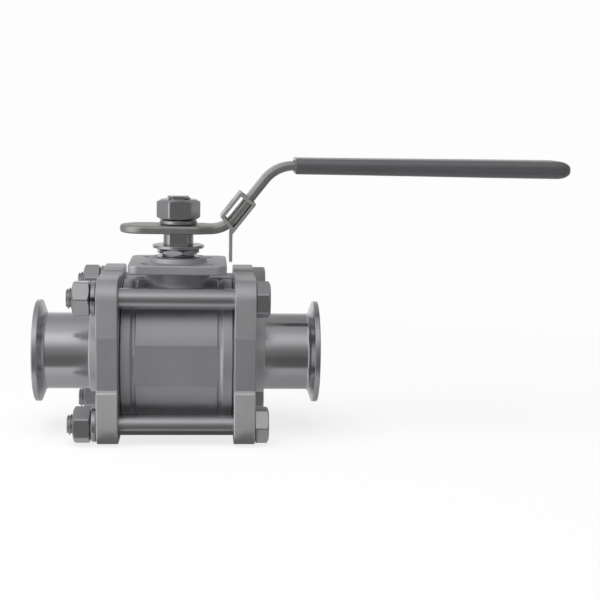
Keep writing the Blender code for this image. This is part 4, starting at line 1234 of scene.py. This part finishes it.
class VALVE_OT_stem(bpy.types.Operator):
    """Make the stem with its thread, the gland nut, tab washer, split washer and stem nut"""

    bl_idname = "valve.stem"
    bl_label = "Stem and nuts"

    def stem(self, sizes, gland_high):
        """Make the stem: collar, shank with flats, tang and threaded end."""
        collar_edge, shoulder_edge, overlap = 0.0003, 0.0004, 0.0002
        aside, above, into_collar = 0.02, 0.001, 0.0014
        shoulder = LEVER_BOTTOM - GAP
        shank = turned(filleted([
            (0, sizes.collar_bottom, 0),
            (sizes.collar_radius, sizes.collar_bottom, collar_edge),
            (sizes.collar_radius, sizes.collar_top, collar_edge),
            (sizes.shank_radius, sizes.collar_top, 0),
            (sizes.shank_radius, shoulder, shoulder_edge),
            (0, shoulder, 0),
        ]), 96)
        shank = with_flats(shank, aside, sizes.shank_flat, aside, gland_high, shoulder + above)
        tang = box(
            (-sizes.tang_half, -sizes.tang_reach, sizes.tang_bottom),
            (sizes.tang_half, sizes.tang_reach, sizes.collar_bottom + into_collar),
        )
        start = shoulder - overlap
        thread = threaded_end(
            finish_named("stem_ground"), sizes.thread_radius, sizes.pitch, sizes.depth, STEM_TOP - start,
            sizes.end_bevel, sizes.thread_flat,
        )
        return mesh_from(shape_from(joined(shank, tang), raised_by(thread, start)), weld=False)

    def execute(self, context):
        sizes = context.scene.valve_stem
        nodes = ("gland_nut", "stem_nut", "lever_lock_washer")
        heights = [[corner.z - HEART.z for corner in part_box(node)] for node in nodes]
        (gland_low, gland_high), (nut_low, nut_high), (washer_low, washer_high) = heights
        bore, eye = sizes.shank_radius + GAP, sizes.thread_radius + GAP
        stem = self.stem(sizes, gland_high)
        gland = hex_solid(sizes.gland_across, gland_low, gland_high, bore, sizes.gland_turn)
        nut = hex_solid(sizes.nut_across, nut_low, nut_high, eye, sizes.nut_turn)
        washer = split_ring(eye, sizes.washer_radius, washer_high - washer_low, finish_named("nut_bright"))
        washer = raised_by(washer, washer_low)
        for name, mesh, finish, slot, node in (
            ("ground_stem", stem, "stem_ground", "lever_steel", "stem"),
            ("gland_hex", gland, "nut_bright", "bolt_steel", "gland_nut"),
            ("stem_hex", nut, "nut_bright", "bolt_steel", "stem_nut"),
            ("stem_split_washer", washer, "nut_bright", "bolt_steel", "lever_lock_washer"),
        ):
            add_piece(name, mesh, finish, "lever_and_stem", slot, [node])
        add_eased("keyed_washer", "tab_washer", sizes.tab_edge, "nut_bright", "lever_and_stem", "bolt_steel")
        return {"FINISHED"}


def taper_start(sizes):
    return sizes.lower_corner - sizes.taper_to_corner - sizes.taper_length


def strip_width(sizes, x):
    """Give the strip's half width at x: round tail, wide hub, then a smooth taper to the arm."""
    tail_centre = sizes.hub_half - sizes.tail
    if x < tail_centre:
        return math.sqrt(max(0.0, sizes.hub_half**2 - (tail_centre - x) ** 2))
    share = min(1, max(0, (x - taper_start(sizes)) / sizes.taper_length))
    return between(sizes.hub_half, sizes.arm_half, eased(share))


def edge_distance(sizes, x, y):
    """Give the distance from a point of the flat strip to its outline."""
    tail_centre = sizes.hub_half - sizes.tail
    if x < tail_centre:
        return max(0.0, sizes.hub_half - math.hypot(tail_centre - x, y))
    return max(0.0, strip_width(sizes, x) - abs(y))


def strip_stations(sizes):
    """List (x, z, angle) along the middle of the strip: tail, hub, lower bend, slope, upper bend and arm."""
    tail_steps, flat_steps, bend_steps = 22, 10, 20
    middle = LEVER_BOTTOM + sizes.thickness / 2
    high = middle + sizes.rise
    bend_start = sizes.lower_corner - sizes.lower_bend * math.tan(sizes.slope / 2)
    upper_tangent = sizes.upper_bend * math.tan(sizes.slope / 2)
    bend_end = sizes.lower_corner + sizes.rise / math.tan(sizes.slope) + upper_tangent
    stations = []
    for step in range(tail_steps + 1):
        angle = math.pi / 2 * step / tail_steps
        stations.append((-sizes.tail + sizes.hub_half * (1 - math.cos(angle)), middle, 0.0))
    for step in range(flat_steps):
        stations.append((between(taper_start(sizes), bend_start, step / flat_steps), middle, 0.0))
    for step in range(bend_steps + 1):
        angle = sizes.slope * step / bend_steps
        x = bend_start + sizes.lower_bend * math.sin(angle)
        stations.append((x, middle + sizes.lower_bend * (1 - math.cos(angle)), angle))
    for step in range(bend_steps + 1):
        angle = sizes.slope * (1 - step / bend_steps)
        x = bend_end - sizes.upper_bend * math.sin(angle)
        stations.append((x, high - sizes.upper_bend * (1 - math.cos(angle)), angle))
    stations.append((LEVER_REACH - sizes.grip_end, high, 0.0))
    return stations


def strip_ring(sizes, x, z, angle):
    """Give one ring of points round the strip, thinned to its rounded edge by the distance to the outline."""
    half = strip_width(sizes, x)
    edge = sizes.edge
    edge_steps = 5
    insets = [edge * (1 - math.cos(math.pi / 2 * step / edge_steps)) for step in range(edge_steps + 1)]
    insets = [inset * min(1.0, half / edge) for inset in insets]
    across = [-half + inset for inset in insets] + [-half / 3, half / 3]
    across += [half - inset for inset in insets[::-1]]
    top = []
    for y in across:
        inset = min(edge, edge_distance(sizes, x, y))
        top.append((y, sizes.thickness / 2 - edge + math.sqrt(edge**2 - (edge - inset) ** 2)))
    ring = []
    for y, up in top + [(y, -up) for y, up in top[::-1]]:
        ring.append((x - up * math.sin(angle), y, z + up * math.cos(angle)))
    return ring


class VALVE_OT_lever(bpy.types.Operator):
    """Make the bent lever with its rounded edges and holes"""

    bl_idname = "valve.lever"
    bl_label = "Lever"

    def execute(self, context):
        sizes = context.scene.valve_lever
        beyond, aside, hole_flare = 0.01, 0.02, 0.0003
        half = sizes.thickness / 2
        strip = lofted([strip_ring(sizes, *station) for station in strip_stations(sizes)])
        eye = cylinder(sizes.eye_radius, LEVER_BOTTOM - beyond, LEVER_BOTTOM + beyond, 72)
        flats = box((-aside, -sizes.eye_flat, 0), (aside, sizes.eye_flat, STEM_TOP))
        eye = combined(eye, flats, "INTERSECT")
        corner = Matrix.Translation((sizes.lower_corner, 0, LEVER_BOTTOM + half))
        slope = corner @ Matrix.Rotation(-sizes.slope, 4, "Y")
        hole = drilled(sizes.lock_hole, -half, half, hole_flare)
        hole = moved(hole, slope @ Matrix.Translation((sizes.lock_hole_place, 0, 0)))
        lever = cut(strip, eye, hole)
        add_piece("bent_lever", lever, "lever_satin", "lever_and_stem", "lever_steel", ["lever"])
        return {"FINISHED"}


def sleeve_rows(sizes):
    """List (x, half width, half height, corner) of the sleeve: hollow, lip, swelling body, domed end."""
    inner_corner, least_corner, tip_half = 0.0004, 0.0002, 0.0004
    lip_steps, body_steps, dome_steps = 8, 40, 12
    inner_width = sizes.arm_half + GAP
    inner_height = sizes.thickness / 2 + GAP
    width = inner_width + sizes.grip_wall
    height = inner_height + sizes.grip_wall
    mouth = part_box("lever_grip")[0].x - HEART.x
    lip_end = mouth + sizes.grip_lip
    body_end = LEVER_REACH - sizes.grip_nose
    rows = [(x, inner_width, inner_height, inner_corner) for x in (LEVER_REACH - sizes.grip_end, lip_end)]
    for step in range(lip_steps + 1):
        angle = math.pi * step / lip_steps
        share = (1 - math.cos(angle)) / 2
        rows.append((
            mouth + sizes.grip_lip * (1 - math.sin(angle)),
            between(inner_width, width, share),
            between(inner_height, height, share),
            between(inner_corner, sizes.grip_corner, share),
        ))
    for step in range(1, body_steps):
        share = step / body_steps
        swell = sizes.grip_swell * eased(share)
        rows.append((between(lip_end, body_end, share), width + swell, height + swell, sizes.grip_corner))
    for step in range(dome_steps + 1):
        angle = math.pi / 2 * step / dome_steps
        shrink = (height + sizes.grip_swell - tip_half) * (1 - math.cos(angle))
        swell = sizes.grip_swell - shrink
        corner = max(sizes.grip_corner - shrink, least_corner)
        rows.append((body_end + sizes.grip_nose * math.sin(angle), width + swell, height + swell, corner))
    return rows


class VALVE_OT_grip(bpy.types.Operator):
    """Make the vinyl sleeve: a thin lip at its mouth, slow swells and a domed end"""

    bl_idname = "valve.grip"
    bl_label = "Grip"

    def execute(self, context):
        sizes = context.scene.valve_lever
        middle = LEVER_BOTTOM + sizes.thickness / 2 + sizes.rise
        rings = []
        for x, *section in sleeve_rows(sizes):
            rings.append([(x, y, middle + up) for y, up in rounded_box(*section, 8)])
        add_piece("vinyl_sleeve", lofted(rings), "sleeve_vinyl", "lever_and_stem", "vinyl", ["lever_grip"])
        return {"FINISHED"}


class VALVE_OT_latch(bpy.types.Operator):
    """Make the sliding lock latch with eased edges"""

    bl_idname = "valve.latch"
    bl_label = "Lock latch"

    def execute(self, context):
        edge = context.scene.valve_lever.latch_edge
        add_eased("sliding_latch", "lock_latch", edge, "latch_satin", "latch", "lever_steel")
        return {"FINISHED"}


class VALVE_OT_seals(bpy.types.Operator):
    """Give the seats, seals, packing and springs their finishes"""

    bl_idname = "valve.seals"
    bl_label = "Seals and packing"

    def execute(self, context):
        white = ["left_seat", "right_seat", "left_body_seal", "right_body_seal", "thrust_washer"]
        white += [f"packing_ring_{number}" for number in range(1, 4)]
        bright = ["packing_gland", "disc_spring_1", "disc_spring_2"]
        for nodes, finish in ((white, "seal_white"), (bright, "nut_bright")):
            for name in nodes:
                painted(frame["nodes"][name].data, finish)
        return {"FINISHED"}


# Brightness of the studio round the pipe axis: degrees up from the camera's side, over the top and behind
STUDIO_LEVELS = (
    (-180, 0.95), (-162, 0.62), (-138, 0.42), (-116, 0.40), (-80, 0.42), (-60, 0.50), (-46, 0.54),
    (-38, 0.16), (-12, 0.14), (-2, 0.21), (10, 0.26), (20, 0.36), (30, 0.58), (38, 0.74), (48, 0.82),
    (58, 0.75), (70, 0.56), (90, 0.48), (108, 0.38), (118, 0.37), (132, 0.39), (148, 0.47), (160, 0.66),
    (172, 0.97), (180, 0.97),
)

# Brightness of the studio's ends round the stem axis: degrees from the camera's side, to the right and behind
END_LEVELS = (
    (-180, 0.80), (-150, 0.55), (-120, 0.32), (-104, 0.38), (-90, 0.70), (-78, 0.95), (-62, 1.0), (-45, 1.0),
    (-30, 0.55), (-16, 0.20), (30, 0.16), (60, 0.20), (90, 0.26), (130, 0.28), (150, 0.45), (180, 0.80),
)


def stage_sheet(name, finish, rectangles, height, surface, unseen):
    """Lay flat rectangles at one height, with a shader and the kinds of rays that miss them."""
    points = []
    for left, right, front, back in rectangles:
        points += [(left, front, height), (right, front, height), (right, back, height), (left, back, height)]
    mesh = bpy.data.meshes.new(name)
    mesh.from_pydata(points, [], [tuple(range(first, first + 4)) for first in range(0, len(points), 4)])
    material = bpy.data.materials.new(finish)
    graph = emptied(material)
    graph.node("ShaderNodeOutputMaterial", inputs={"Surface": surface(graph)})
    mesh.materials.append(material)
    sheet = holder(name, mesh)
    for ray in unseen:
        setattr(sheet, f"visible_{ray}", False)


class VALVE_OT_studio(bpy.types.Operator):
    """Make the camera, the pale floor, the overhead lamp and the light from the studio's walls"""

    bl_idname = "valve.studio"
    bl_label = "Studio"

    def execute(self, context):
        studio = context.scene.valve_studio
        self.make_camera(context.scene, studio)
        self.make_floor(studio)
        self.make_shade(studio)
        self.make_world(context.scene, studio)
        self.make_lamp(studio)
        context.scene.view_settings.view_transform = "Standard"
        return {"FINISHED"}

    def make_camera(self, scene, studio):
        data = bpy.data.cameras.new("camera")
        data.lens = studio.lens
        data.sensor_width = studio.sensor
        camera = holder("camera", data)
        yaw, pitch, roll = studio.yaw, studio.pitch, studio.roll
        ahead = Vector((math.sin(yaw) * math.cos(pitch), math.cos(yaw) * math.cos(pitch), -math.sin(pitch)))
        right = Vector((math.cos(yaw), -math.sin(yaw), 0))
        down = ahead.cross(right)
        side = right * math.cos(roll) + down * math.sin(roll)
        lower = down * math.cos(roll) - right * math.sin(roll)
        turn = Matrix((side, -lower, -ahead)).transposed()
        camera.matrix_world = Matrix.Translation(HEART + Vector(studio.camera)) @ turn.to_4x4()
        scene.camera = camera

    def make_floor(self, studio):
        """Lay a floor that looks white to the camera and takes a soft shadow near the valve."""
        half = studio.floor_size / 2
        near_radius, far_radius, paper_tone = 0.18, 0.42, 0.9

        def surface(graph):
            path = graph.node("ShaderNodeLightPath")
            glow = graph.node("ShaderNodeEmission", inputs={"Strength": studio.backdrop})
            paper = graph.node("ShaderNodeBsdfDiffuse", inputs={"Color": (*[paper_tone] * 3, 1)})
            x, y, z = graph.parts(graph.node("ShaderNodeNewGeometry").outputs["Position"])
            near = 1 - graph.step((x * x + y * y) ** 0.5, near_radius, far_radius)
            shares = {0: near * studio.shadow, 1: glow.outputs[0], 2: paper.outputs[0]}
            seen = graph.node("ShaderNodeMixShader", inputs=shares)
            shares = {0: path.outputs["Is Camera Ray"], 1: paper.outputs[0], 2: seen.outputs[0]}
            return graph.node("ShaderNodeMixShader", inputs=shares).outputs[0]

        stage_sheet("floor", "pale_floor", [(-half, half, -half, half)], 0, surface, ("glossy", "shadow"))

    def make_shade(self, studio):
        """Lay dark cards under the valve, which only reflections see, for the shade on its underside."""
        low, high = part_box("centre_body")
        flange_width, barrel_margin, flange_margin, lift = 0.012, 0.004, 0.012, 0.0005
        barrel_reach = high.y + barrel_margin
        flange_reach = FLANGE_HALF + flange_margin
        cards = [
            (low.x, high.x, -barrel_reach, barrel_reach),
            (low.x - flange_width, low.x, -flange_reach, flange_reach),
            (high.x, high.x + flange_width, -flange_reach, flange_reach),
        ]

        def surface(graph):
            return graph.node("ShaderNodeEmission", inputs={"Strength": studio.shade}).outputs[0]

        stage_sheet("shade_card", "dark_card", cards, lift, surface, ("camera", "diffuse", "shadow"))

    def make_world(self, scene, studio):
        """Light the valve from two ramps: one round the pipe, and one round the stem for the two ends."""
        end_rise = (0.3, 0.6)
        left_level, right_loss, loss_rise = 1.12, 0.36, (-0.15, 0.12)
        world = bpy.data.worlds.new("studio")
        graph = emptied(world)
        x, y, z = graph.parts(graph.node("ShaderNodeTexCoord").outputs["Generated"])
        levels = []
        for aside, stops in ((z, STUDIO_LEVELS), (x, END_LEVELS)):
            around = graph.math("ARCTAN2", aside, y * -1) / FULL_TURN + 0.5
            places = [((degrees + 180) / 360, level) for degrees, level in stops]
            ramp = graph.node("ShaderNodeValToRGB", {"stops": places}, {"Fac": around})
            levels.append(Value(graph, ramp.outputs[0]))
        ends = graph.step(abs(x), *end_rise)
        fade = left_level - graph.step(x, *loss_rise) * right_loss
        walls = levels[0] * fade * (1 - ends) + levels[1] * ends
        path = graph.node("ShaderNodeLightPath")
        shown = graph.mixed(path.outputs["Is Camera Ray"], walls, (*[studio.backdrop] * 3, 1))
        sky = graph.node("ShaderNodeBackground", inputs={"Color": shown, "Strength": 1.0})
        graph.node("ShaderNodeOutputWorld", inputs={"Surface": sky.outputs[0]})
        scene.world = world

    def make_lamp(self, studio):
        data = bpy.data.lights.new("overhead", "AREA")
        data.shape = "RECTANGLE"
        data.size = studio.lamp_width
        data.size_y = studio.lamp_depth
        data.energy = studio.lamp_power
        lamp = holder("overhead", data)
        lamp.location = HEART + Vector(studio.lamp)
        lamp.rotation_euler = (HEART - lamp.location).to_track_quat("-Z", "Y").to_euler()
        lamp.visible_glossy = False


class VALVE_PT_panel(bpy.types.Panel):
    """Lists the valve's pieces in the sidebar"""

    bl_idname = "VALVE_PT_panel"
    bl_label = "Ball valve"
    bl_space_type = "VIEW_3D"
    bl_region_type = "UI"
    bl_category = "Valve"

    def draw(self, context):
        for operator in OPERATORS:
            self.layout.operator(operator.bl_idname)
        for name, group in GROUPS.items():
            column = self.layout.column(heading=name)
            for key in group.__annotations__:
                column.prop(getattr(context.scene, name), key)


GROUPS = {
    "valve_body": BodySizes,
    "valve_ends": EndSizes,
    "valve_bolts": BoltSizes,
    "valve_stem": StemSizes,
    "valve_lever": LeverSizes,
    "valve_finishes": Finishes,
    "valve_studio": Studio,
}
OPERATORS = (
    VALVE_OT_studio,
    VALVE_OT_casting,
    VALVE_OT_ends,
    VALVE_OT_bolts,
    VALVE_OT_ball,
    VALVE_OT_stem,
    VALVE_OT_lever,
    VALVE_OT_grip,
    VALVE_OT_latch,
    VALVE_OT_seals,
)


def register():
    for item in (*GROUPS.values(), *OPERATORS, VALVE_PT_panel):
        bpy.utils.register_class(item)
    for name, group in GROUPS.items():
        setattr(bpy.types.Scene, name, PointerProperty(type=group))


def unregister():
    for name in GROUPS:
        delattr(bpy.types.Scene, name)
    for item in (VALVE_PT_panel, *OPERATORS[::-1], *list(GROUPS.values())[::-1]):
        bpy.utils.unregister_class(item)


def main():
    register()
    for operator in OPERATORS:
        name = operator.bl_idname.split(".")[1]
        getattr(bpy.ops.valve, name)()


if __name__ == "__main__":
    main()
